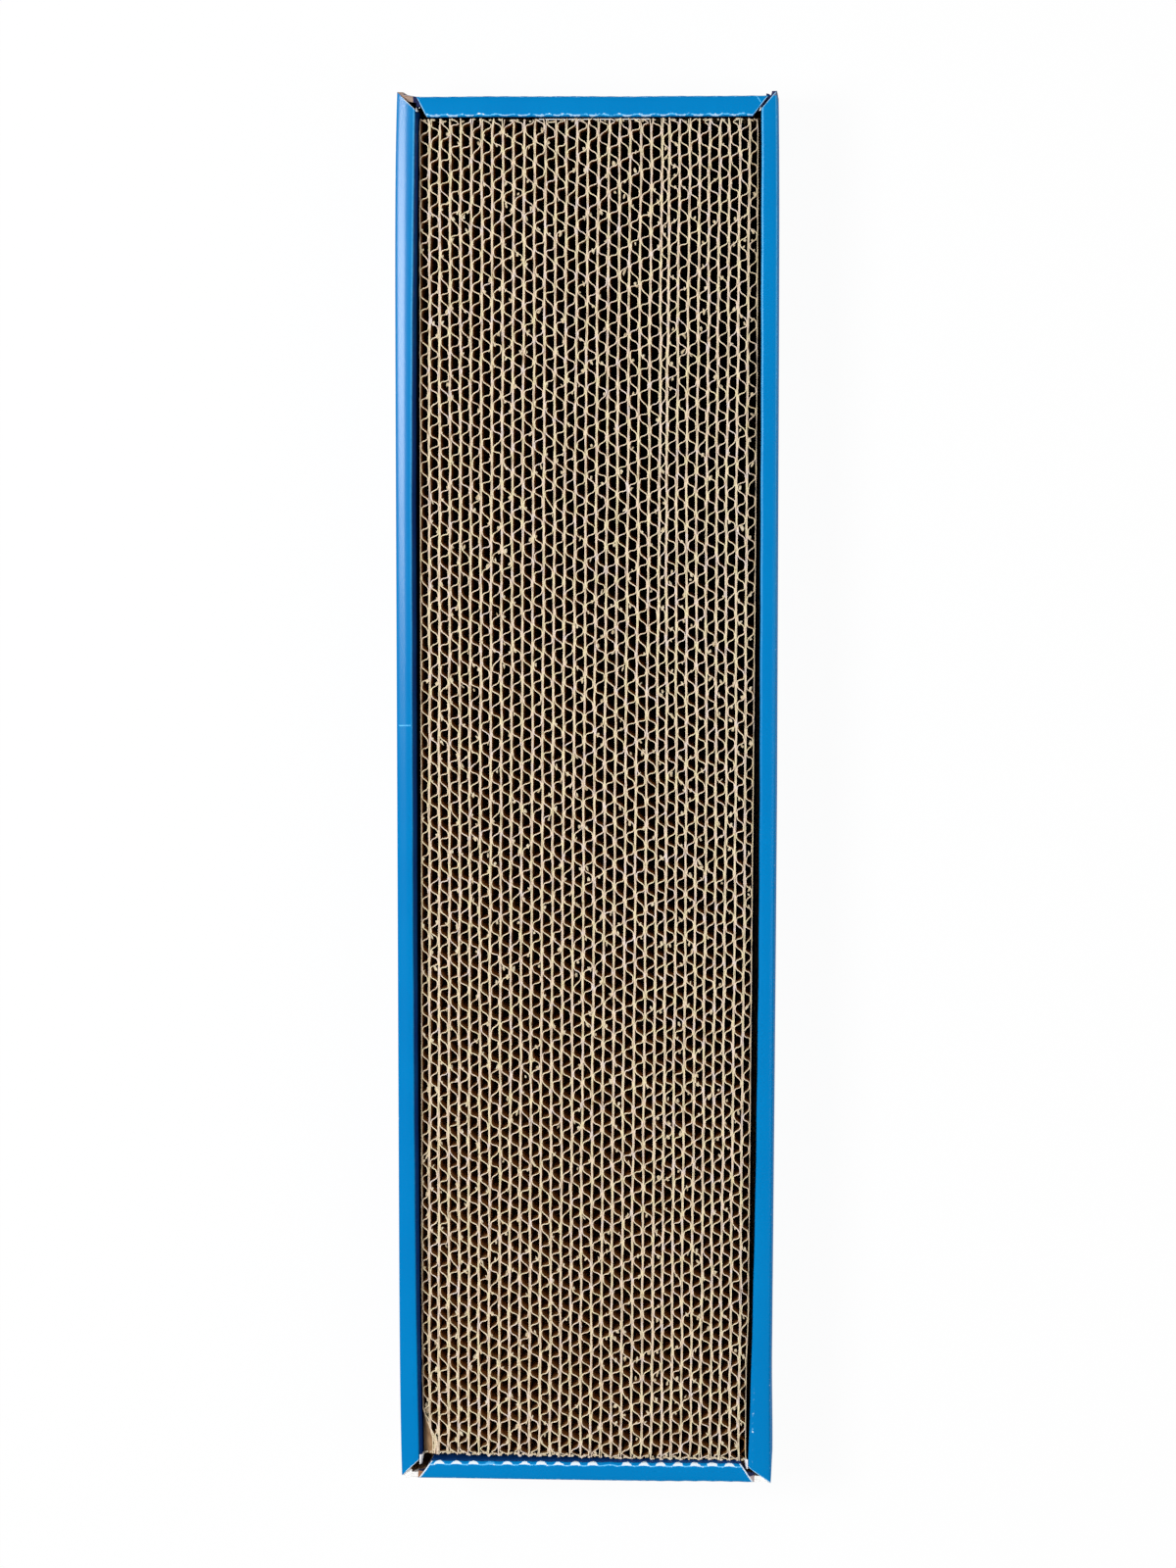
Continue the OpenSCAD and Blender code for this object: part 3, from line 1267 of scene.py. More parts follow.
@dataclass
class Wall:
    """A wall of the tray, folded from its blank into an outer panel, a rim and an inner panel."""

    name: str
    node: str
    section: Section
    finish: PrintedBoard
    half: float
    columns: int
    side: int
    white_edge: float
    burr_width: float = 0.3 * MM
    burr: PaperBurr = PaperBurr()
    scrap: PaperBurr = PaperBurr("white_scrap", tint(250, 250, 252), tint(214, 220, 236))
    panel_lean: float = 0.0
    panel_shares: Pair = (0.6, 0.7)
    panel_drop: float = 7 * MM
    panel_foot: float = 30 * MM
    tab_length: float = 38 * MM
    tab_height: float = 2.2 * MM
    tab_level: float = 1.5 * MM
    tab_bevel: float = 0.15 * MM

    def stations(self) -> np.ndarray:
        """Shares of the half length at which the blank has its columns."""
        edge = 1 - self.burr_width / self.half
        return np.concatenate([[-1.0], np.linspace(-edge, edge, self.columns - 1), [1.0]])

    def reach(self) -> np.ndarray:
        """Half length of the blank at each row."""
        raise NotImplementedError

    def set_out(self, along: np.ndarray, deep: np.ndarray, up: np.ndarray) -> np.ndarray:
        """Place the folded board in the tray.

        Args:
            along: Place along the wall.
            deep: Distance in from the wall's outer face.
            up: Height.

        Returns:
            One row of three numbers for each corner.
        """
        raise NotImplementedError

    def narrowed(self, along: np.ndarray, deep: np.ndarray, up: np.ndarray) -> np.ndarray:
        """Draw the rim in to its mitres, where the blank isn't cut to them.

        Args:
            along: Place along the wall.
            deep: Distance in from the wall's outer face.
            up: Height.

        Returns:
            The drawn in places along the wall.
        """
        return along

    def leaned(self, deep: np.ndarray, up: np.ndarray) -> np.ndarray:
        """How far the inner panel leans, between the floor and the rim.

        Args:
            deep: Distance in from the wall's outer face.
            up: Height.

        Returns:
            Distances from its upright place.
        """
        panel = rise(deep / self.section.rim, self.panel_shares)
        falling = eased((self.section.height - up) / self.panel_drop) * eased(up / self.panel_foot)
        return self.panel_lean * panel * falling

    def blank(self) -> Sheet:
        """Cut the blank."""
        return Sheet(self.columns, len(self.section.rows()) - 1)

    def mesh(self) -> bpy.types.Mesh:
        """Fold the blank.

        Returns:
            The wall's mesh.
        """
        made = self.blank().mesh(self.name)
        counts = corners(made)
        column = np.rint(counts[:, 0]).astype(int)
        row = np.rint(counts[:, 1]).astype(int)
        bare = (np.abs(counts[:, 2]) > 0.5).astype(float)
        rows, lengths, reach = self.section.rows(), self.section.lengths(), self.reach()
        along = self.stations()[column] * reach[row]
        deep = rows[row, 0] * (1 - bare) + rows[row, 2] * bare
        up = rows[row, 1] * (1 - bare) + rows[row, 3] * bare
        drawn = self.narrowed(along, deep, up)
        self.chart(made, drawn, lengths[row], bare * self.section.thickness)
        self.mark_burr(made, column, row)
        set_corners(made, self.set_out(along, deep, up))
        return made

    def mark_burr(self, mesh: bpy.types.Mesh, column: np.ndarray, row: np.ndarray) -> None:
        """Mark the printed faces beside the mitred cuts of the rim.

        Args:
            mesh: The blank.
            column: Column of each corner.
            row: Row of each corner.
        """
        heights = self.section.rows()[:, 1]
        for face in mesh.polygons:
            if face.material_index == Face.OUTSIDE.value:
                ends = {int(column[v]) for v in face.vertices}
                level = min(heights[row[v]] for v in face.vertices)
                if level > self.section.height - self.section.crease and self.at_cut(ends):
                    face.material_index = Face.BURR.value

    def at_cut(self, ends: set[int]) -> bool:
        """Tell whether a polygon between these columns lies beside a cut."""
        return 0 in ends or self.columns in ends

    def chart(
        self, mesh: bpy.types.Mesh, along: np.ndarray, across: np.ndarray, deep: np.ndarray
    ) -> None:
        """Keep each corner's place on the blank for the finishes.

        Args:
            mesh: The blank.
            along: Place along the wall of each corner.
            across: Place across the blank of each corner.
            deep: Depth in the board of each corner.
        """
        chart = mesh.uv_layers.new(name="Blank")
        places = np.empty((len(mesh.loops), 2))
        for face in mesh.polygons:
            for loop in face.loop_indices:
                v = mesh.loops[loop].vertex_index
                if face.material_index == Face.END_CUT.value:
                    places[loop] = across[v], deep[v]
                elif face.material_index == Face.SIDE_CUT.value:
                    places[loop] = along[v], deep[v]
                else:
                    places[loop] = along[v], across[v]
        chart.data.foreach_set("uv", places.astype(np.float32).ravel())

    def tab(self, form: bmesh.types.BMesh, spot: Vector, size: Vector) -> None:
        """Add a locking tab under the inner panel.

        Args:
            form: The wall's form.
            spot: Middle of the tab.
            size: Size of the tab.
        """
        block = bmesh.ops.create_cube(form, size=1.0)["verts"]
        bmesh.ops.scale(form, vec=size, verts=block)
        edges = list({e for v in block for e in v.link_edges})
        bmesh.ops.translate(form, vec=spot, verts=block)
        bmesh.ops.bevel(
            form,
            geom=edges,
            offset=self.tab_bevel,
            affect="EDGES",
            segments=2,
            profile=0.5,
            material=-1,
        )

    def extras(self, form: bmesh.types.BMesh) -> None:
        """Add what isn't folded from the blank.

        Args:
            form: The wall's form.
        """
        raise NotImplementedError

    def dress(self, wall: bpy.types.Mesh) -> None:
        """Give the wall its finishes.

        Args:
            wall: The wall's mesh.
        """
        t = self.section.thickness
        wavy = self.finish.flutes_cross
        for finish in (
            self.finish,
            BareBoard(),
            CutEdge(self.name + "_end_cut", t, not wavy),
            CutEdge(self.name + "_side_cut", t, wavy, self.white_edge),
            self.burr,
            self.scrap,
        ):
            wall.materials.append(finish.material())
        wall.polygons.foreach_set("use_smooth", self.smooth_faces(wall))

    def smooth_faces(self, wall: bpy.types.Mesh) -> list[bool]:
        """Tell which polygons are shaded smooth: the broad sides, and not the cuts."""
        cuts = (Face.END_CUT.value, Face.SIDE_CUT.value)
        return [f.material_index not in cuts for f in wall.polygons]

    def build(self) -> bpy.types.Object:
        """Build and dress the wall.

        Returns:
            The wall as a piece of the tray.
        """
        made = self.mesh()
        with edited(made) as form:
            outward(form)
            self.extras(form)
        self.dress(made)
        return piece(made, "tray", [self.node])


@dataclass(frozen=True)
class Scrap:
    """White paper that curls off the inner end of a mitre."""

    width: float
    start: float
    length: float
    gap: float = 0.2 * MM
    narrowing: float = 0.5 * MM
    level: float = 49.5 * MM
    droop: float = 1.5 * MM
    rise: float = 0.3 * MM
    thickness: float = 0.2 * MM

    def add(self, form: bmesh.types.BMesh, rim: float, side: int, end: int) -> None:
        """Add it to a wall.

        Args:
            form: The wall's form.
            rim: Distance of the rim's inner crease from the tray's middle.
            side: 1 on the right and -1 on the left.
            end: 1 at the back and -1 at the front.
        """
        made = bmesh.ops.create_grid(form, x_segments=3, y_segments=4, size=0.5)["verts"]
        faces = list({f for v in made for f in v.link_faces})
        for v in made:
            out, run = v.co.x + 0.5, v.co.y + 0.5
            x = rim - self.gap - out * (self.width - self.narrowing * run)
            z = self.level - out * out * self.droop + run * self.rise
            v.co = Vector((side * x, end * (self.start + run * self.length), z))
        solid = bmesh.ops.solidify(form, geom=faces, thickness=self.thickness)["geom"]
        for face in {*faces, *(g for g in solid if isinstance(g, bmesh.types.BMFace))}:
            face.material_index = Face.SCRAP.value


@dataclass
class LongWall(Wall):
    """A wall along the pad, its rim mitred from the outer corners inwards."""

    face: float = 65.18 * MM
    inner_half: float = 233.6 * MM
    front_short: float = 0.0
    tip_leans: Pair = (0.95 * MM, 0.95 * MM)
    lean_powers: Pair = (4.0, 4.0)
    tip_flare: float = 0.0
    rim_spread: Triple = (-0.6 * MM, 1.6 * MM, 1.6 * MM)
    spread_power: float = 3.0
    foot_inset: float = 0.2 * MM
    foot_depth: float = 2 * MM
    foot_level: float = 1 * MM
    wander: float = 0.12 * MM
    wander_depth: float = 1 * MM
    mitre_levels: Pair = (46 * MM, 48 * MM)
    flare_shares: Pair = (0.85, 1.0)
    tab_step: float = 155.7 * MM
    front_scrap: Scrap = Scrap(1.3 * MM, 231.6 * MM, 3.4 * MM)
    back_scrap: Scrap = Scrap(0.8 * MM, 233.4 * MM, 1.3 * MM)
    scrap_share: float = 0.92

    def reach(self) -> np.ndarray:
        """Half length of the blank at each row."""
        rows = self.section.rows()
        past_rim = np.arange(len(rows)) > np.argmax(rows[:, 0])
        mitred = self.half - rows[:, 0] * rise(rows[:, 1], self.mitre_levels)
        return np.where(past_rim, self.inner_half, mitred)

    def lean(self, along: np.ndarray) -> np.ndarray:
        """How far the wall is drawn in, most at its tips.

        Args:
            along: Places along the wall.

        Returns:
            Distances in from the wall's face.
        """
        back, front = (
            lean * np.abs(along / self.half) ** power
            for lean, power in zip(self.tip_leans, self.lean_powers)
        )
        front = front - self.tip_flare * rise(-along / self.half, self.flare_shares)
        return np.where(along > 0, back, np.maximum(front, 0.0))

    def set_out(self, along: np.ndarray, deep: np.ndarray, up: np.ndarray) -> np.ndarray:
        """Place the folded board in the tray.

        Args:
            along: Place along the wall.
            deep: Distance in from the wall's outer face.
            up: Height.

        Returns:
            One row of three numbers for each corner.
        """
        share = along / self.half
        held = eased(up / self.section.height)
        middle, back, front = self.rim_spread
        ends = np.where(share > 0, back, front) * np.abs(share) ** self.spread_power
        spread = (middle + ends) * held * eased(deep / self.section.rim)
        lean = self.lean(along) * (1 - eased(deep / self.section.rim))
        outer = (deep < self.foot_depth) * (up > self.foot_level)
        lean = lean + self.foot_inset * (1 - held) * outer
        deep = deep + self.leaned(deep, up)
        wander = Waver(self.side + Seed.LONG_WALL, self.wander).at(along) * (deep > self.wander_depth)
        x = self.side * (self.face - deep - lean - spread + wander * held)
        y = along + np.where(share < 0, self.front_short, 0.0) * np.abs(share) ** 6
        return np.column_stack([x, y, up])

    def extras(self, form: bmesh.types.BMesh) -> None:
        """Add the tabs, and the scraps of paper at the mitres.

        Args:
            form: The wall's form.
        """
        t = self.section.thickness
        rim = self.face - self.section.rim
        for k in (-1, 0, 1):
            spot = Vector((self.side * (rim + t / 2), k * self.tab_step, self.tab_level))
            self.tab(form, spot, Vector((t, self.tab_length, self.tab_height)))
        middle, back, front = self.rim_spread
        for end, scrap, spread in ((-1, self.front_scrap, front), (1, self.back_scrap, back)):
            scrap.add(form, rim - middle - spread * self.scrap_share, self.side, end)
        outward(form)


@dataclass
class EndWall(Wall):
    """A wall across the end of the pad, its rim and inner panel narrower than its outer panel."""

    face: float = 239.2 * MM
    rim_halves: Pair = (58.7 * MM, 58.7 * MM)
    narrowings: Pair = (4.6 * MM, 4.7 * MM)
    growths: Pair = (0.0, 0.0)
    flares: Pair = (0.2 * MM, 0.2 * MM)
    corner: float = 63.25 * MM
    slant: float = 0.0
    raw_drop: float = 0.9 * MM
    outer_shift: float = 0.0
    inner_shift: float = 0.0
    scallop: float = 0.16 * MM
    scallop_levels: Pair = (44 * MM, 49 * MM)
    scallop_turn_share: float = 0.4
    wander: float = 0.15 * MM
    room: float = 0.78 * MM
    raw_slack: float = 0.05 * MM
    fill_levels: Pair = (44 * MM, 47 * MM)
    corner_share: float = 0.999

    def stations(self) -> np.ndarray:
        """Shares of the half width at which the blank has its columns."""
        left, right = (rim / self.half for rim in self.rim_halves)
        burr = self.burr_width / self.half
        inner = np.linspace(burr - left, right - burr, self.columns - 3)
        return np.concatenate([[-1.0, -left], inner, [right, 1.0]])

    def reach(self) -> np.ndarray:
        """Half width of the blank at each row, before its rim is narrowed."""
        return np.full(len(self.section.rows()), self.half)

    def narrowed(self, along: np.ndarray, deep: np.ndarray, up: np.ndarray) -> np.ndarray:
        """Draw the rim and the inner panel in to their mitres.

        Args:
            along: Place along the wall.
            deep: Distance in from the wall's outer face.
            up: Height.

        Returns:
            The drawn in places along the wall.
        """
        share = np.clip(deep / self.section.rim, 0, 1)
        folded_over = (up > self.section.height - self.raw_drop) | (share > 0.5)
        left, right = (
            (grow - (take + grow) * share) / rim
            for grow, take, rim in zip(self.growths, self.narrowings, self.rim_halves)
        )
        drawn = along * (1 + np.where(along < 0, left, right) * folded_over)
        at_corner = (np.abs(along) > self.corner_share * self.half) & (share < 0.5)
        filled = self.half + (self.corner - self.half) * rise(up, self.fill_levels)
        return np.where(at_corner, np.sign(along) * filled, drawn)

    def flared(self, along: np.ndarray) -> np.ndarray:
        """How far the raw edges beside the rim stand out at the corners.

        Args:
            along: Places along the wall.

        Returns:
            Distances out.
        """
        left, right = (
            flare * np.clip((np.abs(along) - rim) / (self.corner - rim), 0, 1)
            for flare, rim in zip(self.flares, self.rim_halves)
        )
        return np.where(along < 0, left, right)

    def blank(self) -> Sheet:
        """Cut the blank, with its raw top edges beside the rim."""
        rows = self.section.rows()
        top = int(np.argmax(rows[:, 1] > self.section.height - self.raw_drop - self.raw_slack))
        last = self.columns - 1
        return Sheet(self.columns, len(rows) - 1, lambda x, y: y < top or 1 < x < last)

    def at_cut(self, ends: set[int]) -> bool:
        """Tell whether a polygon between these columns lies beside a cut."""
        return 1 in ends or self.columns - 1 in ends

    def set_out(self, along: np.ndarray, deep: np.ndarray, up: np.ndarray) -> np.ndarray:
        """Place the folded board in the tray.

        Args:
            along: Place along the wall.
            deep: Distance in from the wall's outer face.
            up: Height.

        Returns:
            One row of three numbers for each corner.
        """
        held = eased(up / self.section.height) ** 2
        share = eased(deep / self.section.rim)
        shift = (self.outer_shift * (1 - share) + self.inner_shift * share) * held
        shift = shift + self.flared(along) * held
        along = self.narrowed(along, deep, up)
        flutes = along / self.finish.flute - self.finish.moon_start
        ripple = -np.cos(flutes * 2 * math.pi) * self.scallop * rise(up, self.scallop_levels)
        wander = Waver(self.side + Seed.END_WALL, self.wander).at(along) * held
        shift = shift + self.slant * along / self.half * held
        shift = shift + wander + ripple * (share - self.scallop_turn_share) + self.leaned(deep, up)
        y = self.side * (self.face - deep + np.minimum(shift, self.room))
        return np.column_stack([along, y, up])

    def extras(self, form: bmesh.types.BMesh) -> None:
        """Add the tab.

        Args:
            form: The wall's form.
        """
        t = self.section.thickness
        spot = Vector((0, self.side * (self.face - self.section.rim + t / 2), self.tab_level))
        self.tab(form, spot, Vector((self.tab_length, t, self.tab_height)))


@dataclass
class Tray:
    """The folded tray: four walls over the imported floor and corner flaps."""

    section: Section = field(default_factory=Section)

    def walls(self) -> list[Wall]:
        """List the tray's walls."""
        left = replace(
            self.section, crease=0.5 * MM, crown=0.62 * MM, crown_reach=0.6, crown_power=1.2
        )
        ends = replace(self.section, crease=0.8 * MM)
        thin_burr = PaperBurr("pale_cut_burr", tint(150, 206, 244), tint(40, 140, 208))
        moons = {"flutes_cross": True, "flute": 5.963 * MM, "moon_start": 0.407, **ends.creases()}
        long_cut = {"half": 240 * MM, "columns": 170, "white_edge": 0.3 * MM}
        end_cut = {"half": 61.03 * MM, "columns": 160}
        return [
            LongWall(
                "folded_long_wall_left",
                "long_wall_left",
                left,
                PrintedBoard(
                    "blue_print_left",
                    flutes_cross=False,
                    # paler line along the inner crease: partly rubbed print, partly painted highlight
                    rub_and_highlight=0.5,
                    scratch_at=24.3 * MM,
                    gloss=0.38,
                    **left.creases(),
                ),
                side=-1,
                front_short=0.8 * MM,
                panel_lean=0.8 * MM,
                tip_leans=(1.0 * MM, 0.7 * MM),
                lean_powers=(9.0, 9.0),
                rim_spread=(-0.45 * MM, 1.9 * MM, 1.45 * MM),
                **long_cut,
            ),
            LongWall(
                "folded_long_wall_right",
                "long_wall_right",
                ends,
                PrintedBoard(
                    "blue_print_right",
                    flutes_cross=False,
                    # paler lines along both creases: partly rubbed print, partly painted highlight
                    rub_and_highlight=0.85,
                    outer_rub_and_highlight=0.6,
                    hair_share=0.3,
                    hair_reach=(-222 * MM, -204 * MM),
                    bare_tip=238.6 * MM,
                    raw=tint(112, 118, 142),
                    **ends.creases(),
                ),
                side=1,
                burr=thin_burr,
                tip_leans=(0.5 * MM, 1.15 * MM),
                lean_powers=(9.0, 1.2),
                tip_flare=0.5 * MM,
                rim_spread=(-0.45 * MM, 0.3 * MM, 3.2 * MM),
                spread_power=2.2,
                **long_cut,
            ),
            EndWall(
                "folded_end_wall_front",
                "end_wall_front",
                ends,
                PrintedBoard(
                    "blue_print_front",
                    crack_height=2.0 * MM,
                    crack_white=0.86,
                    crack_noise=1.2,
                    hair_share=0.95,
                    outer_hair=0.5,
                    # painted shade of the inner panel: a little lighter here, and whole nearer the
                    # crease
                    painted_shade_ink=tint(24, 70, 148),
                    painted_shade_reach=0.8 * MM,
                    **moons,
                ),
                side=-1,
                burr_width=0.6 * MM,
                outer_shift=0.85 * MM,
                inner_shift=0.05 * MM,
                panel_lean=0.5 * MM,
                slant=-0.3 * MM,
                white_edge=2.2 * MM,
                **end_cut,
            ),
            EndWall(
                "folded_end_wall_back",
                "end_wall_back",
                ends,
                PrintedBoard(
                    "blue_print_back",
                    crack_height=0.9 * MM,
                    crack_white=0.36,
                    crack_noise=2.6,
                    hair_share=0.7,
                    outer_hair=0.6,
                    base=0.45 * MM,
                    tear_at=57.85 * MM,
                    **moons,
                ),
                side=1,
                burr=thin_burr,
                outer_shift=-0.8 * MM,
                inner_shift=-1.8 * MM,
                scallop=0.08 * MM,
                rim_halves=(57.7 * MM, 60.95 * MM),
                narrowings=(3.7 * MM, 4.6 * MM),
                growths=(0.0, 0.9 * MM),
                flares=(1.5 * MM, 0.5 * MM),
                white_edge=0.1 * MM,
                **end_cut,
            ),
        ]

    def dress_packed(self) -> None:
        """Dress the floor and the corner flaps, which stay as they were packed."""
        floor = TrayFloor().material()
        flap = CornerBoard().material()
        for name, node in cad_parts.items():
            if name == "base_panel" or name.startswith("corner_flap"):
                node.data.materials.clear()
                node.data.materials.append(floor if name == "base_panel" else flap)
                LOG.info("%s: packed node, dressed", name)

    def build(self) -> list[bpy.types.Object]:
        """Build and dress the tray.

        Returns:
            Its pieces.
        """
        self.dress_packed()
        return [wall.build() for wall in self.walls()]


@dataclass(frozen=True)
class Strip:
    """One strip of the pad: its number from the left, and its own flutes."""

    number: int
    phase: float
    lean: float
    back: float
    front: float
    seed: int


@dataclass(frozen=True)
class Crush:
    """Where and how far a film of glue is pushed in at the pad's front left corner."""

    depth: float
    reach: Pair


@dataclass(frozen=True)
class TuftSizes:
    """Sizes of the torn fibre. A pair is the least and the most of a random draw."""

    chance: float = 0.2
    end_share: float = 0.004
    turn: float = 0.7
    unevenness: float = 0.16
    inward: float = 0.25 * MM
    slip: float = 0.7 * MM
    level: float = 44.35 * MM
    widths: Pair = (0.25 * MM, 0.55 * MM)
    lengths: Pair = (0.5 * MM, 1.2 * MM)
    heights: Pair = (0.2 * MM, 0.4 * MM)
    bulge_spot: Triple = (-56.1 * MM, -216.4 * MM, 43.6 * MM)
    bulge_size: Triple = (0.65 * MM, 2.3 * MM, 0.4 * MM)
    bulge_turn: float = 0.05
    front_count: int = 3
    back_count: int = 1
    end_across: Pair = (0.4 * MM, 3.0 * MM)
    end_inward: Pair = (0.2 * MM, 0.9 * MM)
    end_widths: Pair = (0.4 * MM, 0.9 * MM)
    end_length: float = 0.4 * MM
    end_height: float = 0.35 * MM
    end_level: float = 44.2 * MM
    end_turn: float = 0.4
    white_chance: float = 0.75
    white_widths: Pair = (0.45 * MM, 0.8 * MM)
    white_across: Pair = (-0.2 * MM, 0.5 * MM)
    white_inward: float = 0.1 * MM
    white_length: float = 0.5 * MM
    white_level: float = 44.4 * MM


class StripSlot(Enum):
    """The finishes of a strip, as its material slots."""

    CELLS = 0
    FACE = 1
    FIBRE = 2
    WHITE = 3


@dataclass
class Pad:
    """The pad: strips of corrugated board on edge, glued face to face.

    The films of glue are the seams. They are counted from the left, and follow the photograph.
    """

    count: int = 33
    length: float = 465.2 * MM
    half_length: float = 233 * MM
    low: float = 1.9 * MM
    high: float = 44.9 * MM
    flute: float = 7.5 * MM
    liner: float = 0.26 * MM
    medium: float = 0.28 * MM
    glue: float = 0.05 * MM
    bite: float = 0.03 * MM
    per_flute: int = 16
    liner_columns: int = 200
    levels: tuple[float, ...] = (2.4 * MM, 20.0 * MM, 38.0 * MM, 43.0 * MM, 44.4 * MM)
    swells: tuple[float, ...] = (1.2, 1.1, 0.9, 0.9, 0.9, 1.05, 1.15)
    left_face: float = -57.4 * MM
    left_back: float = 0.35 * MM
    left_front: float = 0.35 * MM
    left_corner: float = 0.3 * MM
    left_corner_shares: Pair = (0.8, 1.0)
    right_face: float = 57.55 * MM
    right_slope: float = 0.0055
    right_corner: float = 0.55 * MM
    right_corner_reach: Pair = (180 * MM, 202 * MM)
    right_limit: float = 58.35 * MM
    left_pitch: float = 3.59 * MM
    pitch_slope: float = 0.0001
    right_pitch: float = 3.42 * MM
    left_settling: float = 1.1
    right_settling: float = 0.9
    crushed: int = 23
    crushed_place: float = 24.2 * MM
    crushed_slope: float = 0.0067
    crushed_loss: float = 0.9 * MM
    crushed_reach: Pair = (-20 * MM, 110 * MM)
    seam_wander: float = 0.26 * MM
    seam_jitter: float = 0.09 * MM
    jitter_waves: tuple[float, ...] = (7.5 * MM, 5.1 * MM)
    crushes: tuple[Crush, ...] = (
        Crush(3.3 * MM, (215.5 * MM, 227.5 * MM)),
        Crush(2.1 * MM, (222.5 * MM, 228.0 * MM)),
    )
    crush_levels: Pair = (42.7 * MM, 44.9 * MM)
    leans: Pair = (-0.14, 0.26)
    back_end: float = 231.15 * MM
    back_play: Pair = (-0.3 * MM, 0.2 * MM)
    front_end: float = -232.4 * MM
    front_play: Pair = (-0.15 * MM, 0.35 * MM)
    front_slant: float = 0.9 * MM
    slanted: int = 20
    steepness: float = 2.0
    knots: int = 160
    slip: float = 0.045
    presses: Pair = (0.9, 1.0)
    least_swing: float = 0.2 * MM
    shut_place: float = 1.3 * MM
    shut_run: float = 0.9 * MM
    shut_levels: Pair = (38 * MM, 43 * MM)
    back_shut_every: int = 3
    bend: float = 0.22 * MM
    bend_waves: tuple[float, ...] = (3.1 * MM, 4.7 * MM, 11 * MM)
    bend_levels: Pair = (41.5 * MM, 44.9 * MM)
    slump: float = 3.0 * MM
    slump_levels: Pair = (20 * MM, 38 * MM)
    slump_reach: Pair = (224.4 * MM, 225.2 * MM)
    fray: float = 0.5 * MM
    fray_levels: Pair = (38 * MM, 45 * MM)
    front_fray: float = 1.6 * MM
    back_fray: float = 1.2 * MM
    top_slack: float = 0.05 * MM
    grain: float = 0.12 * MM
    chip: float = 0.3 * MM
    chip_waves: tuple[float, ...] = (2.3 * MM, 5.9 * MM, 17 * MM)
    most_drop: float = 0.45 * MM
    rough_levels: Pair = (43 * MM, 44.9 * MM)
    rough: float = 0.035 * MM
    share_step: float = 0.0004
    least_step: float = 0.0001 * MM
    tuft_sizes: TuftSizes = TuftSizes()
    seed: int = 5

    def heights(self) -> np.ndarray:
        """Heights of the sheets' rows."""
        return np.array([self.low, *self.levels, self.high])

    def swelling(self) -> np.ndarray:
        """Thickness of the paper at each row, as a share of its own."""
        return np.array(self.swells)

    def sides(self, y: np.ndarray) -> tuple[np.ndarray, np.ndarray]:
        """Left and right face of the pad.

        Args:
            y: Places along it.

        Returns:
            The two faces' places across it.
        """
        share = y / self.half_length
        left = self.left_face + self.left_back * np.clip(share, 0, 1) ** 2
        left = left - self.left_front * eased(share / -0.7)
        left = left + self.left_corner * rise(-share, self.left_corner_shares)
        right = self.right_face + y * self.right_slope
        right = right - self.right_corner * rise(-y, self.right_corner_reach)
        return left, np.minimum(right, self.right_limit)

    def seam(self, number: int, y: np.ndarray) -> np.ndarray:
        """Place of the film of glue beside a strip.

        Args:
            number: Strips to the left of it.
            y: Places along the pad.

        Returns:
            Places across the pad.
        """
        left, right = self.sides(y)
        x = self.crushed_place + y * self.crushed_slope
        if number <= self.crushed:
            pitch = self.left_pitch + y * self.pitch_slope
            start = x - self.crushed * pitch
            x = start + number * pitch + (left - start) * math.exp(-number / self.left_settling)
        else:
            past = self.count - self.crushed - 1
            x = x + self.right_pitch - self.crushed_loss * rise(y, self.crushed_reach)
            beyond = right - x - past * self.right_pitch
            x = x + (number - self.crushed - 1) * self.right_pitch
            x = x + beyond * math.exp((number - self.count) / self.right_settling)
        if 0 < number < self.count:
            x = x + Waver(Seed.SEAM + number, self.seam_wander).at(y)
            x = x + Waver(Seed.JITTER + number, self.seam_jitter, self.jitter_waves).at(y)
        return x

    def crush(self, number: int, y: np.ndarray, z: np.ndarray) -> np.ndarray:
        """How far a film of glue is pushed in, near the top of the pad's front left corner.

        Args:
            number: Strips to the left of it.
            y: Places along the pad.
            z: Heights.

        Returns:
            Distances to the right.
        """
        if number >= len(self.crushes):
            return np.zeros_like(y)
        crush = self.crushes[number]
        return crush.depth * rise(z, self.crush_levels) * rise(-y, crush.reach)

    def strips(self) -> list[Strip]:
        """Lay out the strips, each with its own flutes."""
        rng = np.random.default_rng(self.seed)
        made = []
        for i in range(self.count):
            slant = self.front_slant * min(i / self.slanted, 1.0)
            made.append(
                Strip(
                    number=i,
                    phase=float(rng.uniform(0, 1)),
                    lean=float(rng.uniform(*self.leans)),
                    back=float(self.back_end + rng.uniform(*self.back_play)),
                    front=float(self.front_end - slant + rng.uniform(*self.front_play)),
                    seed=Seed.STRIP + i,
                )
            )
        return made

    def pattern(self) -> bpy.types.Mesh:
        """Make the three flat sheets of a strip, which every strip is a copy of.

        Returns:
            One mesh, with the fluted sheet first and then the left and right liner.
        """
        rows = len(self.heights()) - 1
        made = bpy.data.meshes.new("strip_pattern")
        with edited(made) as form:
            for columns in (self.flute_columns(), self.liner_columns, self.liner_columns):
                sheet = Sheet(columns, rows).mesh("sheet")
                form.from_mesh(sheet)
                bpy.data.meshes.remove(sheet)
        return made

    def flute_columns(self) -> int:
        """Columns of the fluted sheet."""
        return int(self.length / self.flute * self.per_flute)

    def shape(self, turn: np.ndarray) -> np.ndarray:
        """Height of the fluted sheet off the strip's middle, from -1 to 1.

        Args:
            turn: Flutes from the start of the sheet.

        Returns:
            The height.
        """
        wave = np.sin(turn * 2 * math.pi)
        return np.tanh(self.steepness * wave) / math.tanh(self.steepness)

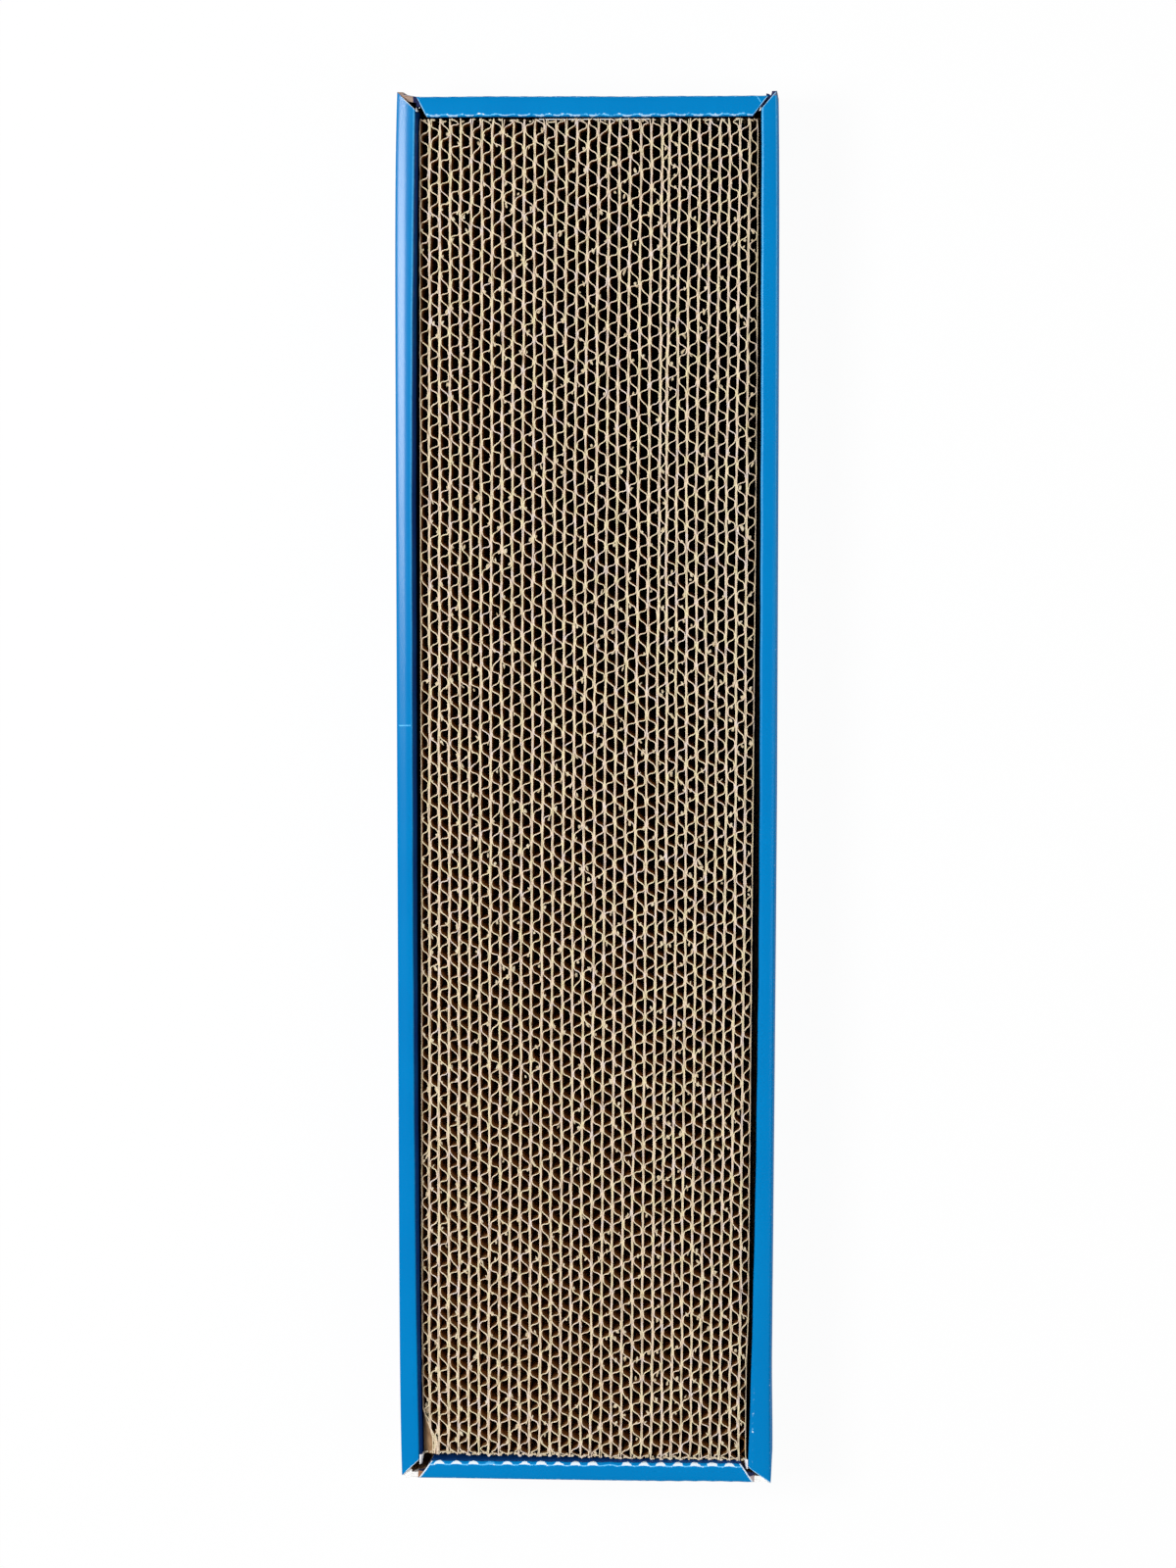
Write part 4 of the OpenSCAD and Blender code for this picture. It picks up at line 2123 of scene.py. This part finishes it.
    def shut(self, strip: Strip, wave: np.ndarray, y: np.ndarray, z: np.ndarray) -> np.ndarray:
        """Close the outermost cell at the strip's ends, at the back of some strips only.

        Args:
            strip: The strip.
            wave: Height of the fluted sheet off the strip's middle.
            y: Places along the pad.
            z: Heights.

        Returns:
            The height with the cells closed.
        """
        for end, inward in ((strip.front, 1), (strip.back, -1)):
            if inward < 0 and strip.number % self.back_shut_every:
                continue
            bar = end + inward * self.shut_place
            across = -np.sign(self.shape(np.array([bar / self.flute + strip.phase])))[0]
            near = eased((bar - y) * inward / self.shut_run)
            wave = wave + (across - wave) * (near * rise(z, self.shut_levels))
        return wave

    def fluted(self, strip: Strip, share: np.ndarray, z: np.ndarray) -> tuple[np.ndarray, np.ndarray]:
        """Middle of the fluted sheet.

        Args:
            strip: The strip.
            share: Share of the sheet's length.
            z: Heights.

        Returns:
            Places across and along the pad.
        """
        rng = np.random.default_rng(strip.seed)
        y = strip.front + share * (strip.back - strip.front)
        knots = np.linspace(0, 1, self.knots)
        slip = np.interp(share, knots, rng.normal(0, self.slip, self.knots))
        press = np.interp(share, knots, rng.uniform(*self.presses, self.knots))
        wave = self.shut(strip, self.shape(y / self.flute + strip.phase + slip), y, z)
        left = self.seam(strip.number, y) + self.crush(strip.number, y, z)
        left = left + self.glue / 2 + self.liner
        right = self.seam(strip.number + 1, y) + self.crush(strip.number + 1, y, z)
        right = right - self.glue / 2 - self.liner
        swing = np.maximum((right - left) / 2 - self.medium / 2 + self.bite, self.least_swing)
        x = (left + right) / 2 + swing * wave * press
        bent = Waver(strip.seed + Seed.BEND, self.bend, self.bend_waves).at(y)
        bent = bent * rise(z, self.bend_levels)
        y = np.clip(y - strip.lean * swing * wave + bent, strip.front, strip.back)
        return x, y

    def flute_sheet(
        self, strip: Strip, column: np.ndarray, row: np.ndarray, far: np.ndarray
    ) -> np.ndarray:
        """Place the corners of a strip's fluted sheet.

        Args:
            strip: The strip.
            column: Column of each corner.
            row: Row of each corner.
            far: 1 on the far side of the sheet and 0 on the near one.

        Returns:
            One row of three numbers for each corner.
        """
        z = self.heights()[row]
        share = column / self.flute_columns()
        if strip.number == self.count - 1:
            y = strip.front + share * (strip.back - strip.front)
            z = z - self.slump * rise(z, self.slump_levels) * rise(-y, self.slump_reach)
        x, y = self.fluted(strip, share, z)
        x0, y0 = self.fluted(strip, np.clip(share - self.share_step, 0, 1), z)
        x1, y1 = self.fluted(strip, np.clip(share + self.share_step, 0, 1), z)
        dx, dy = x1 - x0, np.maximum(y1 - y0, self.least_step)
        size = np.hypot(dx, dy)
        half = (far - 0.5) * self.medium * self.swelling()[row]
        return np.column_stack([x + dy / size * half, y - dx / size * half, z])

    def liner_sheet(
        self, strip: Strip, right: bool, column: np.ndarray, row: np.ndarray, far: np.ndarray
    ) -> np.ndarray:
        """Place the corners of a strip's flat liner.

        Args:
            strip: The strip.
            right: Whether it is the liner on the right.
            column: Column of each corner.
            row: Row of each corner.
            far: 1 on the side that faces the flutes and 0 on the outer one.

        Returns:
            One row of three numbers for each corner.
        """
        rng = np.random.default_rng(strip.seed + (Seed.FRAY if right else 0))
        z = self.heights()[row]
        y = strip.front + column / self.liner_columns * (strip.back - strip.front)
        thick = self.liner * np.where(far > 0.5, self.swelling()[row], 1.0)
        inward = self.glue / 2 + thick * far
        x = self.seam(strip.number + right, y) + self.crush(strip.number + right, y, z)
        x = x - inward if right else x + inward
        frayed = rng.uniform(-self.fray, self.fray, 2) * rise(z, self.fray_levels)[:, None]
        front = np.exp((strip.front - y) / self.front_fray)
        back = np.exp((y - strip.back) / self.back_fray)
        x = x + (frayed * np.column_stack([front, back])).sum(axis=1)
        return np.column_stack([x, y, z])

    def ragged(self, strip: Strip, places: np.ndarray) -> np.ndarray:
        """Roughen the sawn top.

        Args:
            strip: The strip.
            places: One row of three numbers for each corner.

        Returns:
            The roughened places.
        """
        rng = np.random.default_rng(strip.seed + Seed.GRAIN)
        top = places[:, 2] > self.high - self.top_slack
        drop = np.abs(rng.normal(0, self.grain, len(places)))
        chips = Waver(strip.seed + Seed.CHIP, self.chip, self.chip_waves)
        drop += np.abs(chips.at(places[:, 1]))
        places[:, 2] -= np.where(top, np.minimum(drop, self.most_drop), 0.0)
        side = rise(places[:, 2], self.rough_levels)
        places[:, 0] += rng.normal(0, self.rough, len(places)) * side
        return places

    def tufts(self, form: bmesh.types.BMesh, strip: Strip) -> None:
        """Add torn fibre beside some crests and at the strip's ends.

        Args:
            form: The strip's form.
            strip: The strip.
        """
        sizes = self.tuft_sizes
        rng = np.random.default_rng(strip.seed + Seed.TUFT)
        span = strip.back - strip.front
        for crest in np.arange(0.25, span / self.flute * 2) / 2:
            if rng.uniform() > sizes.chance:
                continue
            share = float((crest - strip.phase % 0.5) * self.flute / span)
            if not sizes.end_share < share < 1 - sizes.end_share:
                continue
            x, y = self.fluted(strip, np.array([share]), np.array([self.high]))
            middle = (self.seam(strip.number, y) + self.seam(strip.number + 1, y)) / 2
            towards = float(np.sign(x - middle)[0])
            spot = Vector((float(x[0]) - towards * sizes.inward, float(y[0]), sizes.level))
            spot.y += float(rng.normal(0, sizes.slip))
            extent = (sizes.widths, sizes.lengths, sizes.heights)
            size = Vector([float(rng.uniform(*pair)) for pair in extent])
            self.tuft(form, spot, size, float(rng.uniform(-sizes.turn, sizes.turn)), rng)
        if strip.number == 0:
            self.tuft(form, Vector(sizes.bulge_spot), Vector(sizes.bulge_size), sizes.bulge_turn, rng)
        self.end_tufts(form, strip, strip.front, sizes.front_count, rng)
        if rng.uniform() < sizes.white_chance:
            width = float(rng.uniform(*sizes.white_widths))
            x = self.first_seam(strip, strip.front) + float(rng.uniform(*sizes.white_across))
            spot = Vector((x, strip.front + sizes.white_inward, sizes.white_level))
            size = Vector((width, sizes.white_length, sizes.end_height))
            self.tuft(form, spot, size, 0.0, rng, StripSlot.WHITE)
        self.end_tufts(form, strip, strip.back, sizes.back_count, rng)

    def first_seam(self, strip: Strip, y: float) -> float:
        """Place across the pad of the film of glue at a strip's left."""
        return float(self.seam(strip.number, np.array([y]))[0])

    def end_tufts(
        self, form: bmesh.types.BMesh, strip: Strip, end: float, count: int, rng: np.random.Generator
    ) -> None:
        """Add torn fibre at an end of a strip.

        Args:
            form: The strip's form.
            strip: The strip.
            end: Place of the end along the pad.
            count: How many tufts there are.
            rng: Source of their unevenness.
        """
        sizes = self.tuft_sizes
        inward = -math.copysign(1, end)
        for _ in range(count):
            x = self.first_seam(strip, end) + float(rng.uniform(*sizes.end_across))
            y = end + inward * float(rng.uniform(*sizes.end_inward))
            size = Vector((float(rng.uniform(*sizes.end_widths)), sizes.end_length, sizes.end_height))
            turn = float(rng.uniform(-sizes.end_turn, sizes.end_turn))
            self.tuft(form, Vector((x, y, sizes.end_level)), size, turn, rng)

    def tuft(
        self,
        form: bmesh.types.BMesh,
        spot: Vector,
        size: Vector,
        turn: float,
        rng: np.random.Generator,
        slot: StripSlot = StripSlot.FIBRE,
    ) -> None:
        """Add one tuft of torn fibre.

        Args:
            form: The strip's form.
            spot: Its middle.
            size: Its half sizes.
            turn: Its turn about the upright.
            rng: Source of its unevenness.
            slot: Its finish.
        """
        place = Matrix.LocRotScale(spot, Euler((0, 0, turn)), size)
        verts = bmesh.ops.create_icosphere(form, subdivisions=1, radius=1.0, matrix=place)["verts"]
        for v in verts:
            v.co += Vector(rng.normal(0, self.tuft_sizes.unevenness, 3)) * size.y
            v.co.z = min(v.co.z, self.high)
        for face in {f for v in verts for f in v.link_faces}:
            face.material_index = slot.value

    def build_strip(
        self, strip: Strip, pattern: bpy.types.Mesh, split: tuple[int, int]
    ) -> bpy.types.Mesh:
        """Build one strip.

        Args:
            strip: The strip.
            pattern: The flat sheets that it is a copy of.
            split: Corner at which each liner starts in it.

        Returns:
            The strip's mesh.
        """
        made = pattern.copy()
        made.name = f"fluted_strip_{strip.number + 1:02d}"
        counts = corners(pattern)
        column = np.rint(counts[:, 0]).astype(int)
        row = np.rint(counts[:, 1]).astype(int)
        far = (np.abs(counts[:, 2]) > 0.5).astype(float)
        flutes, left, right = slice(split[0]), slice(*split), slice(split[1], None)
        parts = [
            self.flute_sheet(strip, column[flutes], row[flutes], far[flutes]),
            self.liner_sheet(strip, False, column[left], row[left], far[left]),
            self.liner_sheet(strip, True, column[right], row[right], far[right]),
        ]
        set_corners(made, self.ragged(strip, np.vstack(parts)))
        torn = bpy.data.meshes.new("torn_fibre")
        with edited(torn) as form:
            self.tufts(form, strip)
        with edited(made) as form:
            form.from_mesh(torn)
            outward(form)
        bpy.data.meshes.remove(torn)
        return made

    def mark_faces(self, pattern: bpy.types.Mesh, first: int) -> None:
        """Give the liners' outer faces their slot, and all other faces that of the cells.

        Args:
            pattern: The flat sheets of a strip.
            first: Corner at which the liners start in it.
        """
        slots = np.empty(len(pattern.polygons), dtype=np.int32)
        pattern.polygons.foreach_get("material_index", slots)
        starts = np.empty(len(pattern.polygons), dtype=np.int32)
        pattern.polygons.foreach_get("loop_start", starts)
        owner = np.empty(len(pattern.loops), dtype=np.int32)
        pattern.loops.foreach_get("vertex_index", owner)
        outer = (slots == Face.OUTSIDE.value) & (owner[starts] >= first)
        marked = np.where(outer, StripSlot.FACE.value, StripSlot.CELLS.value).astype(np.int32)
        pattern.polygons.foreach_set("material_index", marked)

    def build(self) -> list[bpy.types.Object]:
        """Build and dress the pad.

        Returns:
            Its strips.
        """
        pattern = self.pattern()
        rows = len(self.heights())
        first = (self.flute_columns() + 1) * rows * 2
        second = first + (self.liner_columns + 1) * rows * 2
        self.mark_faces(pattern, first)
        finishes = {
            StripSlot.CELLS: FlutedPaper("fluted_paper", self.low, self.high),
            StripSlot.FACE: StripFace(),
            StripSlot.FIBRE: TornFibre(),
            StripSlot.WHITE: TornFibre("white_paper_fibre", tint(246, 238, 228), tint(230, 212, 190)),
        }
        materials = [finishes[slot].material() for slot in StripSlot]
        made = []
        for strip in self.strips():
            mesh = self.build_strip(strip, pattern, (first, second))
            for material in materials:
                mesh.materials.append(material)
            node = f"strip_{strip.number + 1:02d}"
            made.append(piece(mesh, "pad", [node]))
        bpy.data.meshes.remove(pattern)
        return made


@dataclass(frozen=True)
class Lamp:
    """A soft box: where it hangs, its width and length in metres, and its power in watts."""

    name: str
    spot: Triple
    size: Pair
    watts: float

    def hang(self, aim: Vector) -> None:
        """Hang it.

        Args:
            aim: What it points at.
        """
        data = bpy.data.lights.new(self.name, "AREA")
        data.shape = "RECTANGLE"
        data.size, data.size_y = self.size
        data.energy = self.watts
        made = bpy.data.objects.new(self.name, data)
        made.location = self.spot
        made.rotation_euler = (aim - Vector(self.spot)).to_track_quat("-Z", "Y").to_euler()
        bpy.context.scene.collection.objects.link(made)


@dataclass
class Studio:
    """White floor, soft lamps and the camera of the photograph."""

    eye: Triple = (0.0900, 0.15315, 1.5500)
    turn: Triple = (-0.09861, 0.0594, 0.0001)
    lens: float = 100.893
    sensor: float = 36.0
    clip: Pair = (0.05, 50.0)
    floor_half: float = 4.0
    floor_level: float = -0.2 * MM
    sky: float = 0.27
    aim: Triple = (0.0, 0.0, 0.05)
    lamps: tuple[Lamp, ...] = (
        Lamp("left_soft_box", (-0.66, 0.17, 1.35), (0.4, 0.4), 16.5),
        Lamp("right_soft_box", (0.9, -0.2, 1.25), (0.4, 0.9), 4.5),
    )

    def camera(self) -> None:
        """Stand the camera where the photograph was taken from."""
        data = bpy.data.cameras.new("photo_camera")
        data.sensor_fit = "AUTO"
        data.sensor_width = self.sensor
        data.lens = self.lens
        data.clip_start, data.clip_end = self.clip
        made = bpy.data.objects.new("photo_camera", data)
        made.location = self.eye
        made.rotation_euler = self.turn
        bpy.context.scene.collection.objects.link(made)
        bpy.context.scene.camera = made

    def floor(self) -> None:
        """Lay the floor."""
        mesh = bpy.data.meshes.new("studio_floor")
        with edited(mesh) as form:
            bmesh.ops.create_grid(form, x_segments=4, y_segments=4, size=self.floor_half)
            bmesh.ops.translate(form, vec=(0, 0, self.floor_level), verts=form.verts)
        mesh.materials.append(StudioFloor().material())
        made = bpy.data.objects.new("studio_floor", mesh)
        bpy.context.scene.collection.objects.link(made)

    def sky_light(self) -> None:
        """Surround the scene with even light, and with white where the camera sees it."""
        g = Graph(bpy.data.worlds.new("studio_sky"))
        bpy.context.scene.world = g.owner
        level = g.seen() * (1.0 - self.sky) + self.sky
        light = g.shader("ShaderNodeBackground", {"Color": (1.0, 1.0, 1.0, 1.0), "Strength": level})
        g.node("ShaderNodeOutputWorld", None, {"Surface": light})

    def build(self) -> None:
        """Build the studio."""
        self.camera()
        self.floor()
        self.sky_light()
        for lamp in self.lamps:
            lamp.hang(Vector(self.aim))
        bpy.context.scene.view_settings.view_transform = "Standard"


def main() -> None:
    """Build the scene, piece by piece, and log how many pieces it has."""
    logging.basicConfig(level=logging.INFO, format="%(name)s: %(message)s")
    Studio().build()
    made = Tray().build() + Pad().build()
    bpy.context.view_layer.update()
    LOG.info("%d pieces built", len(made))


if __name__ == "__main__":
    main()
